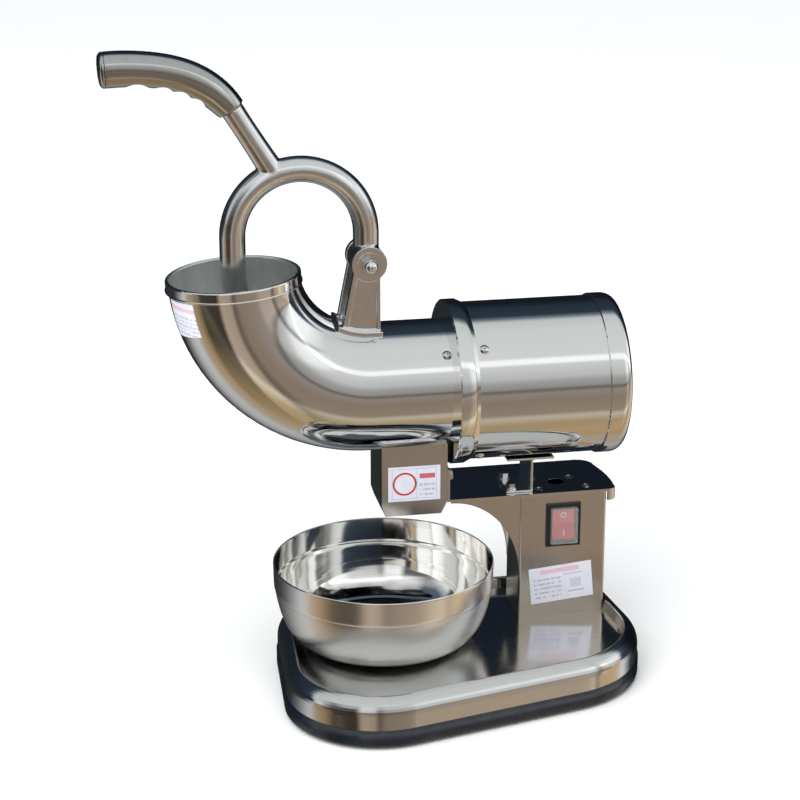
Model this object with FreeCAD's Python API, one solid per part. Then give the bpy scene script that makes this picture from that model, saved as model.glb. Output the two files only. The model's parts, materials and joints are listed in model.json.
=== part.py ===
import FreeCAD, Part
import math
import os

V = FreeCAD.Vector

# Electric shaved ice machine with a bent feed tube, a hand lever and a loose bowl.
# Frame: +Z up, +X towards the motor end, -Y towards the operator.
# Origin: on the surface the feet stand on, under the middle of the overall envelope.
# Inside this file X and Y are counted from working axes, and main() shifts each piece.

# ---- driving dimensions (mm) ----
TO_MIDDLE = (65.1, 14.1)     # from the working axes to the middle of the envelope
AXIS_Y = 45.0            # vertical plane of the motor, feed tube and lever
AXIS_Z = 248.5           # height of the motor axis
SHEET = 1.5              # sheet steel thickness
CLEAR = 0.1              # clearance round a screw or a fixed spigot
RUN = 0.05               # radial clearance of a running fit

FOOT_H = 2.5             # visible height of the rubber feet
PAN_TOP = 17.0           # where the black pan ends and the steel cover starts
PLATE_Z = 34.0           # flat top of the base cover
ROLL_R = 16.0            # roll from the cover's skirt towards its crest
ROLL_Z = 29.0            # height of the roll's centre
ROLL_IN = -17.0          # the roll's centre, measured outwards from the base's outline
ROLL_TURN = 65.0         # how far the roll turns before the crest, in degrees
CREST_R = 2.5            # radius of the crest
RIM_FOOT_IN = -15.5      # where the rim meets the plate
BASE_CORNERS = [         # centre and radius of the base's corner arcs, going round
    (-78.5, 20.0, 76.0),     # far, bowl end
    (-81.2, -65.7, 78.5),    # near, bowl end
    (66.0, -18.0, 90.6),     # near, motor end
    (100.0, 46.0, 50.0),     # far, motor end
]

COL_X0, COL_X1 = 60.5, 138.5
COL_Y0, COL_Y1 = 18.5, 66.0
CAN_X, CAN_Y = 99.5, 46.5     # motor capacitor inside the column
CAN_R = 15.0
CAN_H = 44.0
COL_TOP = 147.0
COL_OPEN_X0, COL_OPEN_X1 = 88.0, 107.0   # opening in the column's foot and head
CABLE_X = 99.0                   # holes for the motor's cable
PLATFORM_T = 2.0
PLATFORM_FAR_Y = 95.0
PLATFORM_X0 = -4.0
PLATFORM_BOW_R = 150.0
SKIRT_H = 10.5
TAB_TOP = 177.0
CHUTE_BOLT_YS = (29.0, 55.0)     # bolts that hold the platform's tab to the chute
CHUTE_BOLT_Z = 168.0
BRACKET_X = 72.0                 # web of the bracket under the motor
BRACKET_BOLT_X = 55.5
BRACKET_BOLT_YS = (32.0, 58.0)
BRACKET_SCREW_XS = (58.0, 85.0)  # screws up into the motor housing
M5 = 2.5                         # radius of an M5 shank

TUBE_R = 55.0            # feed tube, outside
TUBE_T = 1.5
BEND_R = 112.5           # centreline of the elbow
BEND_X = -70.0           # elbow centre, which is also the lever's pivot
PIVOT_Z = AXIS_Z + BEND_R
MOUTH_TILT = 3.6         # degrees that the mouth leans to the front
RIM_R = 56.8
RIM_H = 9.0
RIM_IN = 53.3            # inside of the rolled lip
RIM_SEAT = 54.4          # inside of the band, within the tube's wall
RIM_TURN = 0.8           # degrees that the tube's wall stops below the lip
TUBE_END_X = 10.0

COLLAR_X0, COLLAR_X1 = -2.0, 15.0
COLLAR_R = 71.0
MOTOR_R = 68.0
CAP_X0, CAP_X1 = 127.0, 147.0
CAP_R = 69.6
CAP_FACE_R = 64.0

CHUTE_X0, CHUTE_X1 = -62.0, -4.5
CHUTE_Y0, CHUTE_Y1 = 17.0, 73.0
CHUTE_BOTTOM = 138.0
SLOT_X0, SLOT_X1 = -42.0, -10.0
SLOT_HALF_Y = 22.0

SHAFT_R = 7.5
CUTTER_X = -52.0
CUTTER_T = 5.0
CUTTER_R = 51.0

RING_DX, RING_DZ = -56.0, 23.5   # centre of the lever's ring from the pivot
RING_R = 56.0                    # centreline of the ring
BAR_H = 10.9                     # half height of the lever's section
BAR_W = 12.0                     # half width of the lever's section
PUSH_ANGLE = 26.0                # angle of the pusher below the pivot's level
PUSHER_R = 50.0
PUSHER_T = 8.0
BOSS_R = 15.0
CHEEK_IN = 12.6                  # inner face of a cheek, from the lever's plane
CHEEK_T = 4.5
BOLT_R = 4.0
SADDLE_T = 3.5                   # thickness of the pivot bracket's saddle

BOWL_X, BOWL_Y = -64.0, 0.0
BOWL_RIM_Z = 106.7
BOWL_R = 95.0
BOWL_T = 1.2

SWITCH_X = 99.5
SWITCH_Z = 119.0
ROCKER_TILT = 8.0


def box(x0, x1, y0, y1, z0, z1):
    return Part.makeBox(x1 - x0, y1 - y0, z1 - z0, V(x0, y0, z0))


def rod(radius, start, direction, length):
    return Part.makeCylinder(radius, length, V(*start), V(*direction))


def tube(r_out, r_in, start, direction, length):
    return rod(r_out, start, direction, length).cut(rod(r_in, start, direction, length))


def prism_y(points, y0, y1):
    """Extrude an XZ outline from y0 to y1."""
    wire = Part.makePolygon([V(x, y0, z) for x, z in points + points[:1]])
    return Part.Face(wire).extrude(V(0, y1 - y0, 0))


def turned_x(points):
    """Revolve an (x, radius) outline about the motor axis."""
    wire = Part.makePolygon([V(x, AXIS_Y, AXIS_Z + r) for x, r in points + points[:1]])
    return Part.Face(wire).revolve(V(0, AXIS_Y, AXIS_Z), V(1, 0, 0), 360)


def hexagon(across, start, direction, length):
    """Hexagonal prism across its flats."""
    d = V(*direction)
    side = V(0, 0, 1) if abs(d.z) < 0.9 else V(1, 0, 0)
    other = d.cross(side)
    r = across / math.sqrt(3)
    corners = []
    for i in range(7):
        a = math.radians(60 * i)
        corners.append(V(*start) + side * (r * math.cos(a)) + other * (r * math.sin(a)))
    return Part.Face(Part.makePolygon(corners)).extrude(d * length)


def domed_head(radius, height, start, direction):
    """Low dome, as on a pan-head screw, standing on start along direction."""
    ball = (radius * radius + height * height) / (2 * height)
    centre = V(*start) - V(*direction) * (ball - height)
    return Part.makeSphere(ball, centre).common(rod(radius, start, direction, height))


def cross_slot(radius, height, start, direction):
    """Cutter for the cross recess of a screw head."""
    d = V(*direction)
    side = V(0, 0, 1) if abs(d.z) < 0.9 else V(1, 0, 0)
    other = d.cross(side)
    arms = []
    for a, b in ((side, other), (other, side)):
        base = V(*start) + d * (height * 0.35) - a * (radius * 0.55) - b * (radius * 0.11)
        path = [base, base + a * (radius * 1.1), base + a * (radius * 1.1) + b * (radius * 0.22),
                base + b * (radius * 0.22), base]
        arms.append(Part.Face(Part.makePolygon(path)).extrude(d * height))
    return arms[0].fuse(arms[1])


def screw(head_r, head_h, shank_r, shank_l, seat, direction):
    """Pan-head screw whose head stands on seat and whose shank runs the other way."""
    d = V(*direction)
    head = domed_head(head_r, head_h, seat, direction)
    head = head.cut(cross_slot(head_r, head_h, seat, direction))
    shank = rod(shank_r, seat, (-d.x, -d.y, -d.z), shank_l)
    return head.fuse(shank).removeSplitter()


def compound(solids):
    return Part.makeCompound(solids)


# ---- base ----

def side_normal(start, end):
    """Outward direction of the straight side that touches two corner arcs, in degrees."""
    span_x = end[0] - start[0]
    span_y = end[1] - start[1]
    heading = math.degrees(math.atan2(span_y, span_x))
    return heading - math.degrees(math.acos((start[2] - end[2]) / math.hypot(span_x, span_y)))


def base_corners(grow):
    """Centre, radius, start and end angle of each corner arc, going round."""
    normals = [side_normal(BASE_CORNERS[i - 1], corner) for i, corner in enumerate(BASE_CORNERS)]
    corners = []
    for i, (x, y, r) in enumerate(BASE_CORNERS):
        start = normals[i]
        turn = (normals[(i + 1) % 4] - start) % 360.0
        corners.append((x, y, r + grow, start, start + turn))
    return corners


def polar(cx, cy, r, angle, z):
    a = math.radians(angle)
    return V(cx + r * math.cos(a), cy + r * math.sin(a), z)


def base_outline(grow, z):
    edges = []
    corners = base_corners(grow)
    for i, (cx, cy, r, a0, a1) in enumerate(corners):
        p0 = polar(cx, cy, r, a0, z)
        pm = polar(cx, cy, r, (a0 + a1) / 2, z)
        p1 = polar(cx, cy, r, a1, z)
        nx, ny, nr, na, _ = corners[(i + 1) % 4]
        edges.append(Part.Arc(p0, pm, p1).toShape())
        edges.append(Part.LineSegment(p1, polar(nx, ny, nr, na, z)).toShape())
    return Part.Wire(edges)


def base_slab(grow, z0, z1):
    return Part.Face(base_outline(grow, z0)).extrude(V(0, 0, z1 - z0))


def along_outline(profile):
    """Carry an (outwards, z) outline round the base, corner by corner."""
    solids = []
    corners = base_corners(0)
    for i, (cx, cy, r, a0, a1) in enumerate(corners):
        at_start = [polar(cx, cy, r + out, a0, z) for out, z in profile]
        face = Part.Face(Part.makePolygon(at_start + at_start[:1]))
        solids.append(face.revolve(V(cx, cy, 0), V(0, 0, 1), a1 - a0))
        at_end = [polar(cx, cy, r + out, a1, z) for out, z in profile]
        nx, ny, nr, na, _ = corners[(i + 1) % 4]
        step = polar(nx, ny, nr, na, 0) - polar(cx, cy, r, a1, 0)
        solids.append(Part.Face(Part.makePolygon(at_end + at_end[:1])).extrude(step))
    ring = solids[0]
    for solid in solids[1:]:
        ring = ring.fuse(solid)
    return ring.removeSplitter()


def shoulder(count, inset):
    """Rolled rim of the cover from its skirt, over the crest and down towards the plate."""
    turn = math.radians(ROLL_TURN)
    end = math.radians(170.0)
    crest_in = ROLL_IN + (ROLL_R - CREST_R) * math.cos(turn)
    crest_z = ROLL_Z + (ROLL_R - CREST_R) * math.sin(turn)
    points = []
    for i in range(count + 1):
        a = turn * i / count
        points.append((ROLL_IN + (ROLL_R - inset) * math.cos(a),
                       ROLL_Z + (ROLL_R - inset) * math.sin(a)))
    for i in range(1, count + 1):
        a = turn + (end - turn) * i / count
        points.append((crest_in + (CREST_R - inset) * math.cos(a),
                       crest_z + (CREST_R - inset) * math.sin(a)))
    return points


FOOT_SPOTS = [(-112.0, -92.0), (-108.0, 50.0), (98.0, -62.0), (96.0, 74.0)]
COL_SPOTS = [(80.0, 30.0), (80.0, 55.0), (122.0, 30.0), (113.0, 54.0)]
GLAND_ANGLE = 50.0
GLAND_Z = 24.0
GLAND_R = 5.5


def gland_axis():
    a = math.radians(GLAND_ANGLE)
    x, y, r = BASE_CORNERS[3]
    start = polar(x, y, r - 12.0, GLAND_ANGLE, GLAND_Z)
    return (start.x, start.y, start.z), (math.cos(a), math.sin(a), 0.0)


def base_pan():
    pan = base_slab(0, FOOT_H, PAN_TOP).cut(base_slab(-3.0, FOOT_H + 2.0, PAN_TOP + 1))
    for x, y in FOOT_SPOTS:
        pan = pan.cut(rod(M5 + CLEAR, (x, y, 0), (0, 0, 1), 10))
    for i in range(9):
        pan = pan.cut(box(-40, 20, -42 + 10 * i, -38 + 10 * i, 0, 10))
    return pan


def base_cover():
    skirt = [(-1.0, PAN_TOP)] + shoulder(8, 0.0)
    skirt += [(RIM_FOOT_IN, PLATE_Z), (-26.0, PLATE_Z), (-26.0, PLATE_Z - SHEET)]
    under = [(RIM_FOOT_IN + SHEET, PLATE_Z - SHEET)] + shoulder(8, SHEET)[::-1]
    under.append((-1.0 - SHEET, PAN_TOP))
    ring = along_outline(skirt + under)
    plate = base_slab(-26.0, PLATE_Z - SHEET, PLATE_Z)
    cover = ring.fuse(plate).removeSplitter()
    for x, y in COL_SPOTS:
        cover = cover.cut(rod(M5 + CLEAR, (x, y, 0), (0, 0, 1), 50))
    cover = cover.cut(rod(7.0, (CABLE_X, AXIS_Y, 0), (0, 0, 1), 50))
    start, out = gland_axis()
    return cover.cut(rod(GLAND_R + CLEAR, start, out, 30))


def cover_crown():
    """Everything under the raised rim of the cover, for coping what stands on it."""
    under = [(RIM_FOOT_IN, PLATE_Z), (RIM_FOOT_IN, PAN_TOP), (-1.0, PAN_TOP)]
    return along_outline(shoulder(8, 0.0) + under)


def rubber_feet():
    feet = []
    for x, y in FOOT_SPOTS:
        foot = Part.makeCone(15.0, 16.0, FOOT_H, V(x, y, 0))
        foot = foot.cut(rod(6.0, (x, y, 0), (0, 0, 1), 1.6))
        feet.append(foot.cut(rod(M5 + CLEAR, (x, y, 0), (0, 0, 1), 10)))
    return compound(feet)


def foot_screws():
    screws = []
    for x, y in FOOT_SPOTS:
        screws.append(screw(4.8, 1.3, 2.5, 29.0, (x, y, 1.6), (0, 0, -1)))
    return compound(screws)


def base_spacers():
    low = FOOT_H + 2.0
    return compound([tube(6.0, M5 + CLEAR, (x, y, low), (0, 0, 1), 22.0) for x, y in FOOT_SPOTS])


def clinch_nuts():
    low = FOOT_H + 24.0
    nuts = []
    for x, y in FOOT_SPOTS:
        nut = hexagon(9.0, (x, y, low), (0, 0, 1), PLATE_Z - SHEET - low)
        nuts.append(nut.cut(rod(M5 + CLEAR, (x, y, low), (0, 0, 1), 20)))
    return compound(nuts)


def cable_gland():
    start, out = gland_axis()
    d = V(*out)
    wall_in = 12.0 - 1.0 - SHEET
    inner = V(*start) + d * (wall_in - 4.6)
    outer = V(*start) + d * 11.0
    barrel = rod(GLAND_R, start, out, 22.0)
    nut = hexagon(12.0, tuple(inner), out, 4.0)
    flange = rod(7.0, tuple(outer), out, 2.5)
    dome = Part.makeCone(6.5, 4.8, 7.0, outer + d * 2.5, d)
    body = barrel.fuse(nut).fuse(flange).fuse(dome).removeSplitter()
    return body.cut(rod(3.4, tuple(V(*start) - d), out, 40))


# ---- column and platform ----

def column_box():
    outer = box(COL_X0, COL_X1, COL_Y0, COL_Y1, PLATE_Z, COL_TOP)
    upright = [e for e in outer.Edges if abs(e.tangentAt(e.FirstParameter).z) > 0.99]
    outer = outer.makeFillet(2.5, upright)
    inner = box(COL_X0 + SHEET, COL_X1 - SHEET, COL_Y0 + SHEET, COL_Y1 - SHEET,
                PLATE_Z + SHEET, COL_TOP - SHEET)
    inner_up = [e for e in inner.Edges if abs(e.tangentAt(e.FirstParameter).z) > 0.99]
    inner = inner.makeFillet(1.0, inner_up)
    column = outer.cut(inner)
    column = column.cut(box(COL_OPEN_X0, COL_OPEN_X1, COL_Y0 + 5, COL_Y1 - 5, 0, 200))
    for x, y in COL_SPOTS:
        column = column.cut(rod(M5 + CLEAR, (x, y, PLATE_Z - 1), (0, 0, 1), 200))
    column = max(column.cut(cover_crown()).Solids, key=lambda s: s.Volume)
    return column.cut(box(SWITCH_X - 13.6, SWITCH_X + 13.6, COL_Y0 - 1, COL_Y0 + 3,
                          SWITCH_Z - 17.6, SWITCH_Z + 17.6))


def column_screws():
    solids = []
    for x, y in COL_SPOTS:
        solids.append(screw(4.6, 2.4, 2.5, 8.0, (x, y, PLATE_Z - SHEET), (0, 0, -1)))
        nut = hexagon(8.0, (x, y, PLATE_Z + SHEET), (0, 0, 1), 4.0)
        solids.append(nut.cut(rod(M5 + CLEAR, (x, y, 0), (0, 0, 1), 60)))
    return compound(solids)


def column_gussets():
    """Arched side plates that carry the platform forwards of the column."""
    low = 74.0
    height = COL_TOP - low - 1.5
    plates = []
    for y in (COL_Y0, COL_Y1 - SHEET):
        plate = box(PLATFORM_X0 + 3, COL_X0, y, y + SHEET, low, COL_TOP)
        hollow = Part.makeCylinder(1.0, SHEET + 2, V(0, 0, 0), V(0, 1, 0))
        stretch = FreeCAD.Matrix()
        stretch.scale(COL_X0, 1.0, height)
        hollow = hollow.transformGeometry(stretch)
        hollow.translate(V(0, y - 1, low))
        plates.append(plate.cut(hollow).cut(box(-50, 0, 0, 100, 0, low + height)))
    return compound(plates)


def platform_edge(inset, z):
    """Outline of the platform, with its bowed rear edge."""
    bow_y = 41.0
    r = PLATFORM_BOW_R - inset
    y0, y1 = COL_Y0 + inset, PLATFORM_FAR_Y - inset

    def bow(y):
        return -2.0 + math.sqrt(r * r - (y - bow_y) ** 2)
    near = V(COL_X1 + 1.5, y0, z)
    start = V(bow(y0 + 9.0), y0 + 9.0, z)
    far = V(bow(y1 - 16.0), y1 - 16.0, z)
    end = V(bow(y1 - 16.0) - 17.0, y1, z)
    x0 = PLATFORM_X0 + inset
    knee = V(start.x - 1.2, y0 + 3.2, z)
    knee2 = V(far.x - 4.5, y1 - 4.0, z)
    return Part.Wire([
        Part.LineSegment(V(x0, y0, z), near).toShape(),
        Part.Arc(near, knee, start).toShape(),
        Part.Arc(start, V(bow(50.0), 50.0, z), far).toShape(),
        Part.Arc(far, knee2, end).toShape(),
        Part.LineSegment(end, V(x0, y1, z)).toShape(),
        Part.LineSegment(V(x0, y1, z), V(x0, y0, z)).toShape(),
    ])


def platform():
    top = COL_TOP + PLATFORM_T
    plate = Part.Face(platform_edge(0, COL_TOP)).extrude(V(0, 0, PLATFORM_T))
    skirt = Part.Face(platform_edge(0, top - SKIRT_H)).extrude(V(0, 0, SKIRT_H))
    hollow = Part.Face(platform_edge(SHEET, top - SKIRT_H - 1)).extrude(V(0, 0, SKIRT_H + 1))
    skirt = skirt.cut(hollow).cut(box(-50, COL_X1 + 0.5, 0, PLATFORM_FAR_Y - 20, 0, 300))
    skirt = skirt.cut(box(-50, COL_X1 - 20, 0, 200, 0, 300))
    tab = box(PLATFORM_X0, PLATFORM_X0 + 2.0, COL_Y0, COL_Y1, COL_TOP, TAB_TOP)
    shape = plate.fuse(skirt).fuse(tab).removeSplitter()
    for x, y in COL_SPOTS:
        shape = shape.cut(rod(M5 + CLEAR, (x, y, 100), (0, 0, 1), 60))
    for y in BRACKET_BOLT_YS:
        shape = shape.cut(rod(M5 + CLEAR, (BRACKET_BOLT_X, y, 100), (0, 0, 1), 60))
    for y in CHUTE_BOLT_YS:
        shape = shape.cut(rod(M5 + CLEAR, (-10, y, CHUTE_BOLT_Z), (1, 0, 0), 20))
    return shape.cut(rod(7.0, (CABLE_X, AXIS_Y, 100), (0, 0, 1), 60))


def platform_bolts():
    """Column-to-platform bolts with nuts below, and the two bolts through the chute tab."""
    top = COL_TOP + PLATFORM_T
    solids = []
    for x, y in COL_SPOTS:
        solids.append(screw(4.6, 1.3, M5, 9.0, (x, y, top), (0, 0, 1)))
        nut = hexagon(8.0, (x, y, COL_TOP - SHEET - 4.0), (0, 0, 1), 4.0)
        solids.append(nut.cut(rod(M5 + CLEAR, (x, y, 100), (0, 0, 1), 60)))
    for y in CHUTE_BOLT_YS:
        seat = PLATFORM_X0 + PLATFORM_T
        bolt = hexagon(8.0, (seat, y, CHUTE_BOLT_Z), (1, 0, 0), 4.0)
        bolt = bolt.fuse(rod(M5, (seat - 10.0, y, CHUTE_BOLT_Z), (1, 0, 0), 12.0))
        solids.append(bolt.removeSplitter())
        nut = hexagon(8.0, (CHUTE_X1 - SHEET - 4.0, y, CHUTE_BOLT_Z), (1, 0, 0), 4.0)
        solids.append(nut.cut(rod(M5 + CLEAR, (-30, y, CHUTE_BOLT_Z), (1, 0, 0), 60)))
    return compound(solids)


def motor_bracket():
    """Z-shaped bracket that the motor rests on: foot, web and top flange."""
    low = COL_TOP + PLATFORM_T
    high = AXIS_Z - MOTOR_R
    y0, y1 = AXIS_Y - 21.0, AXIS_Y + 21.0
    foot = box(BRACKET_X - 22.5, BRACKET_X + 1.0, y0, y1, low, low + 2.0)
    web = box(BRACKET_X - 1.0, BRACKET_X + 1.0, y0, y1, low, high)
    flange = box(BRACKET_X - 22.0, BRACKET_X + 20.0, y0, y1, high - 2.0, high)
    shape = foot.fuse(web).fuse(flange).removeSplitter()
    for y in BRACKET_BOLT_YS:
        shape = shape.cut(rod(M5 + CLEAR, (BRACKET_BOLT_X, y, low - 1), (0, 0, 1), 5))
    for x in BRACKET_SCREW_XS:
        shape = shape.cut(rod(M5 + CLEAR, (x, AXIS_Y, high - 5), (0, 0, 1), 10))
    return shape


def bracket_bolts():
    low = COL_TOP + PLATFORM_T
    high = AXIS_Z - MOTOR_R
    solids = []
    for y in BRACKET_BOLT_YS:
        head = hexagon(8.0, (BRACKET_BOLT_X, y, low + 3.0), (0, 0, 1), 4.0)
        washer = rod(5.5, (BRACKET_BOLT_X, y, low + 2.0), (0, 0, 1), 1.0)
        shank = rod(M5, (BRACKET_BOLT_X, y, low - 8.0), (0, 0, 1), 12.0)
        solids.append(head.fuse(washer).fuse(shank).removeSplitter())
        nut = hexagon(8.0, (BRACKET_BOLT_X, y, COL_TOP - 4.0), (0, 0, 1), 4.0)
        solids.append(nut.cut(rod(M5 + CLEAR, (BRACKET_BOLT_X, y, 100), (0, 0, 1), 60)))
    for x in BRACKET_SCREW_XS:
        solids.append(screw(4.6, 2.4, M5, 3.4, (x, AXIS_Y, high - 2.0), (0, 0, -1)))
    return compound(solids)


# ---- switch and labels ----

def switch_housing():
    y = COL_Y0
    bezel = box(SWITCH_X - 15.5, SWITCH_X + 15.5, y - 2.6, y, SWITCH_Z - 20.0, SWITCH_Z + 20.0)
    rim = [e for e in bezel.Edges if abs(e.CenterOfMass.y - (y - 2.6)) < 0.01]
    bezel = bezel.makeFillet(1.2, rim)
    body = box(SWITCH_X - 13.5, SWITCH_X + 13.5, y, y + 24.0, SWITCH_Z - 17.5, SWITCH_Z + 17.5)
    well = box(SWITCH_X - 10.6, SWITCH_X + 10.6, y - 5, y + 14.0, SWITCH_Z - 15.1, SWITCH_Z + 15.1)
    body = bezel.fuse(body).cut(well).removeSplitter()
    for side in (-1, 1):
        for up in (-9.0, 0.0, 9.0):
            x = SWITCH_X + side * 6.0
            body = body.fuse(box(x - 0.4, x + 0.4, y + 24.0, y + 32.0,
                                 SWITCH_Z + up - 3.0, SWITCH_Z + up + 3.0))
    pin = rod(1.5 + RUN, (SWITCH_X - 13.0, y + 5.0, SWITCH_Z), (1, 0, 0), 26.0)
    return body.cut(pin)


def switch_rocker():
    """Rocker with its two pivot stubs, tipped to its off position."""
    y = COL_Y0
    outline = [(y - 1.0, 13.4), (y - 2.9, 13.4), (y - 1.2, 0.0), (y - 2.9, -13.4),
               (y - 1.0, -13.4), (y + 8.5, -7.0), (y + 8.5, 7.0)]
    corners = [V(SWITCH_X - 9.8, py, SWITCH_Z + pz) for py, pz in outline]
    rocker = Part.Face(Part.makePolygon(corners + corners[:1])).extrude(V(19.6, 0, 0))
    rocker = rocker.fuse(rod(1.5, (SWITCH_X - 12.6, y + 5.0, SWITCH_Z), (1, 0, 0), 25.2))
    ring = tube(2.6, 1.8, (SWITCH_X, y - 2.4, SWITCH_Z + 8.0), (0, 1, 0), 0.8)
    bar = box(SWITCH_X - 0.5, SWITCH_X + 0.5, y - 2.4, y - 1.6, SWITCH_Z - 10.6, SWITCH_Z - 5.4)
    rocker = rocker.cut(ring).cut(bar).removeSplitter()
    rocker.rotate(V(SWITCH_X, y + 5.0, SWITCH_Z), V(1, 0, 0), -ROCKER_TILT)
    return rocker


def switch_cover():
    """Clear flexible splash cover that snaps round the bezel's opening."""
    y = COL_Y0
    back, front = y - 2.6, y - 7.4
    outer = box(SWITCH_X - 12.2, SWITCH_X + 12.2, front, back, SWITCH_Z - 16.8, SWITCH_Z + 16.8)
    rim = [e for e in outer.Edges if e.CenterOfMass.y < back - 0.01]
    outer = outer.makeFillet(1.8, rim)
    inner = box(SWITCH_X - 11.4, SWITCH_X + 11.4, front + 0.8, back + 1,
                SWITCH_Z - 16.0, SWITCH_Z + 16.0)
    return outer.cut(inner)


def rating_label():
    """Blank label, stuck on a little askew."""
    label = box(-28.3, 28.3, -0.3, 0.0, -16.8, 16.8)
    label.rotate(V(0, 0, 0), V(0, 1, 0), -5.3)
    label.translate(V(99.0, COL_Y0, 63.5))
    return label


def chute_label():
    return box(-56.5, -11.0, CHUTE_Y0 - 0.3, CHUTE_Y0, 151.5, 183.0)


def run_capacitor():
    """Motor capacitor standing in the column, held by its clip."""
    z = PLATE_Z + 9.0
    can = rod(CAN_R, (CAN_X, CAN_Y, z), (0, 0, 1), CAN_H)
    can = can.makeFillet(2.0, [e for e in can.Edges if abs(e.CenterOfMass.z - z - CAN_H) < 0.1
                               and len(e.Vertexes) == 1])
    lugs = [box(CAN_X + s * 6 - 0.4, CAN_X + s * 6 + 0.4, CAN_Y - 3.0, CAN_Y + 3.0,
                z + CAN_H - 1.0, z + CAN_H + 7.0)
            for s in (-1, 1)]
    return can.fuse(lugs[0]).fuse(lugs[1]).removeSplitter()


def capacitor_clip():
    """Strap bent round the capacitor and fixed to the column's front wall."""
    z = 60.0
    band = tube(CAN_R + 1.5, CAN_R + CLEAR, (CAN_X, CAN_Y, z), (0, 0, 1), 12.0)
    tongue = box(COL_X0 + SHEET, CAN_X - CAN_R, CAN_Y - 1.0, CAN_Y + 1.0, z, z + 12.0)
    tongue = tongue.cut(rod(CAN_R + 1.0, (CAN_X, CAN_Y, z - 1), (0, 0, 1), 20))
    return band.fuse(tongue).removeSplitter()


# ---- feed tube ----

def elbow(radius, angle_from, angle_to):
    """Solid part of a ring about the pivot; angles run down from the pivot's level."""
    disc = Part.Face(Part.Wire([Part.makeCircle(radius, V(BEND_X - BEND_R, AXIS_Y, PIVOT_Z),
                                                V(0, 0, 1))]))
    disc.rotate(V(BEND_X, AXIS_Y, PIVOT_Z), V(0, -1, 0), angle_from)
    return disc.revolve(V(BEND_X, AXIS_Y, PIVOT_Z), V(0, -1, 0), angle_to - angle_from)


def mouth_point(along):
    """Point on the axis of the mouth, along its outward normal."""
    t = math.radians(MOUTH_TILT)
    x = BEND_X - BEND_R * math.cos(t) - along * math.sin(t)
    z = PIVOT_Z - BEND_R * math.sin(t) + along * math.cos(t)
    return (x, AXIS_Y, z)


def mouth_normal():
    t = math.radians(MOUTH_TILT)
    return (-math.sin(t), 0.0, math.cos(t))


def feed_body(radius):
    run = rod(radius, (BEND_X, AXIS_Y, AXIS_Z), (1, 0, 0), TUBE_END_X - BEND_X)
    return elbow(radius, MOUTH_TILT, 90.0).fuse(run)


def mouth_rim():
    """Band round the mouth with a rolled lip above and a bead below."""
    def spot(radius, along):
        return V(radius, 0, along)
    lip = (RIM_R - RIM_IN) / 2
    top = [spot(RIM_R, -lip), spot(RIM_IN + lip, 0), spot(RIM_IN, -lip)]
    sides = [top[2], spot(RIM_IN, -4.0), spot(RIM_SEAT, -4.0), spot(RIM_SEAT, -RIM_H - 0.8),
             spot(RIM_R + 0.2, -RIM_H - 0.8)]
    bead = [sides[4], spot(RIM_R + 0.8, -RIM_H), spot(RIM_R, -RIM_H + 0.9)]
    edges = [Part.Arc(*top).toShape()]
    edges += [Part.LineSegment(p, q).toShape() for p, q in zip(sides, sides[1:])]
    edges.append(Part.Arc(*bead).toShape())
    edges.append(Part.LineSegment(bead[2], top[0]).toShape())
    rim = Part.Face(Part.Wire(edges)).revolve(V(0, 0, 0), V(0, 0, 1), 360)
    rim.rotate(V(0, 0, 0), V(0, -1, 0), MOUTH_TILT)
    rim.translate(V(*mouth_point(0)))
    return rim


def hopper_tube():
    bore = TUBE_R - TUBE_T
    start = V(BEND_X - BEND_R, AXIS_Y, PIVOT_Z)
    discs = [Part.Face(Part.Wire([Part.makeCircle(r, start)])) for r in (TUBE_R, bore)]
    ring = discs[0].cut(discs[1]).Faces[0]
    ring.rotate(V(BEND_X, AXIS_Y, PIVOT_Z), V(0, -1, 0), MOUTH_TILT + RIM_TURN)
    shape = ring.revolve(V(BEND_X, AXIS_Y, PIVOT_Z), V(0, -1, 0), 90.0 - MOUTH_TILT - RIM_TURN)
    for seat, d in saddle_seats():
        shape = shape.cut(rod(2.0 + CLEAR, tuple(seat + d * 2), (-d.x, -d.y, -d.z), 12))
    run = tube(TUBE_R, bore, (BEND_X, AXIS_Y, AXIS_Z), (1, 0, 0), TUBE_END_X - BEND_X)
    slot = box(SLOT_X0, SLOT_X1, AXIS_Y - SLOT_HALF_Y, AXIS_Y + SLOT_HALF_Y, 180, AXIS_Z - 20)
    run = run.cut(slot)
    for x, y, z, d in collar_screw_spots():
        if x < COLLAR_X0:
            run = run.cut(rod(2.0 + CLEAR, (x, y, z), (-d[0], -d[1], -d[2]), 12))
    return shape.fuse(run).fuse(mouth_rim())


def hopper_label():
    """Small label that follows the curve of the tube under the rim."""
    def sector(radius):
        points = [V(BEND_X - BEND_R, AXIS_Y, PIVOT_Z)]
        for i in range(3):
            a = math.radians(11.0 + 17.0 * i)
            points.append(V(BEND_X - BEND_R - radius * math.cos(a),
                            AXIS_Y - radius * math.sin(a), PIVOT_Z))
        arc = Part.Arc(points[1], points[2], points[3]).toShape()
        return points, arc
    inner, arc_in = sector(TUBE_R)
    outer, arc_out = sector(TUBE_R + 0.3)
    wire = Part.Wire(Part.__sortEdges__([
        arc_in, Part.LineSegment(inner[3], outer[3]).toShape(), arc_out,
        Part.LineSegment(outer[1], inner[1]).toShape()]))
    face = Part.Face(wire)
    pivot = V(BEND_X, AXIS_Y, PIVOT_Z)
    face.rotate(pivot, V(0, -1, 0), MOUTH_TILT + 4.2)
    return face.revolve(pivot, V(0, -1, 0), 11.0)


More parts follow.
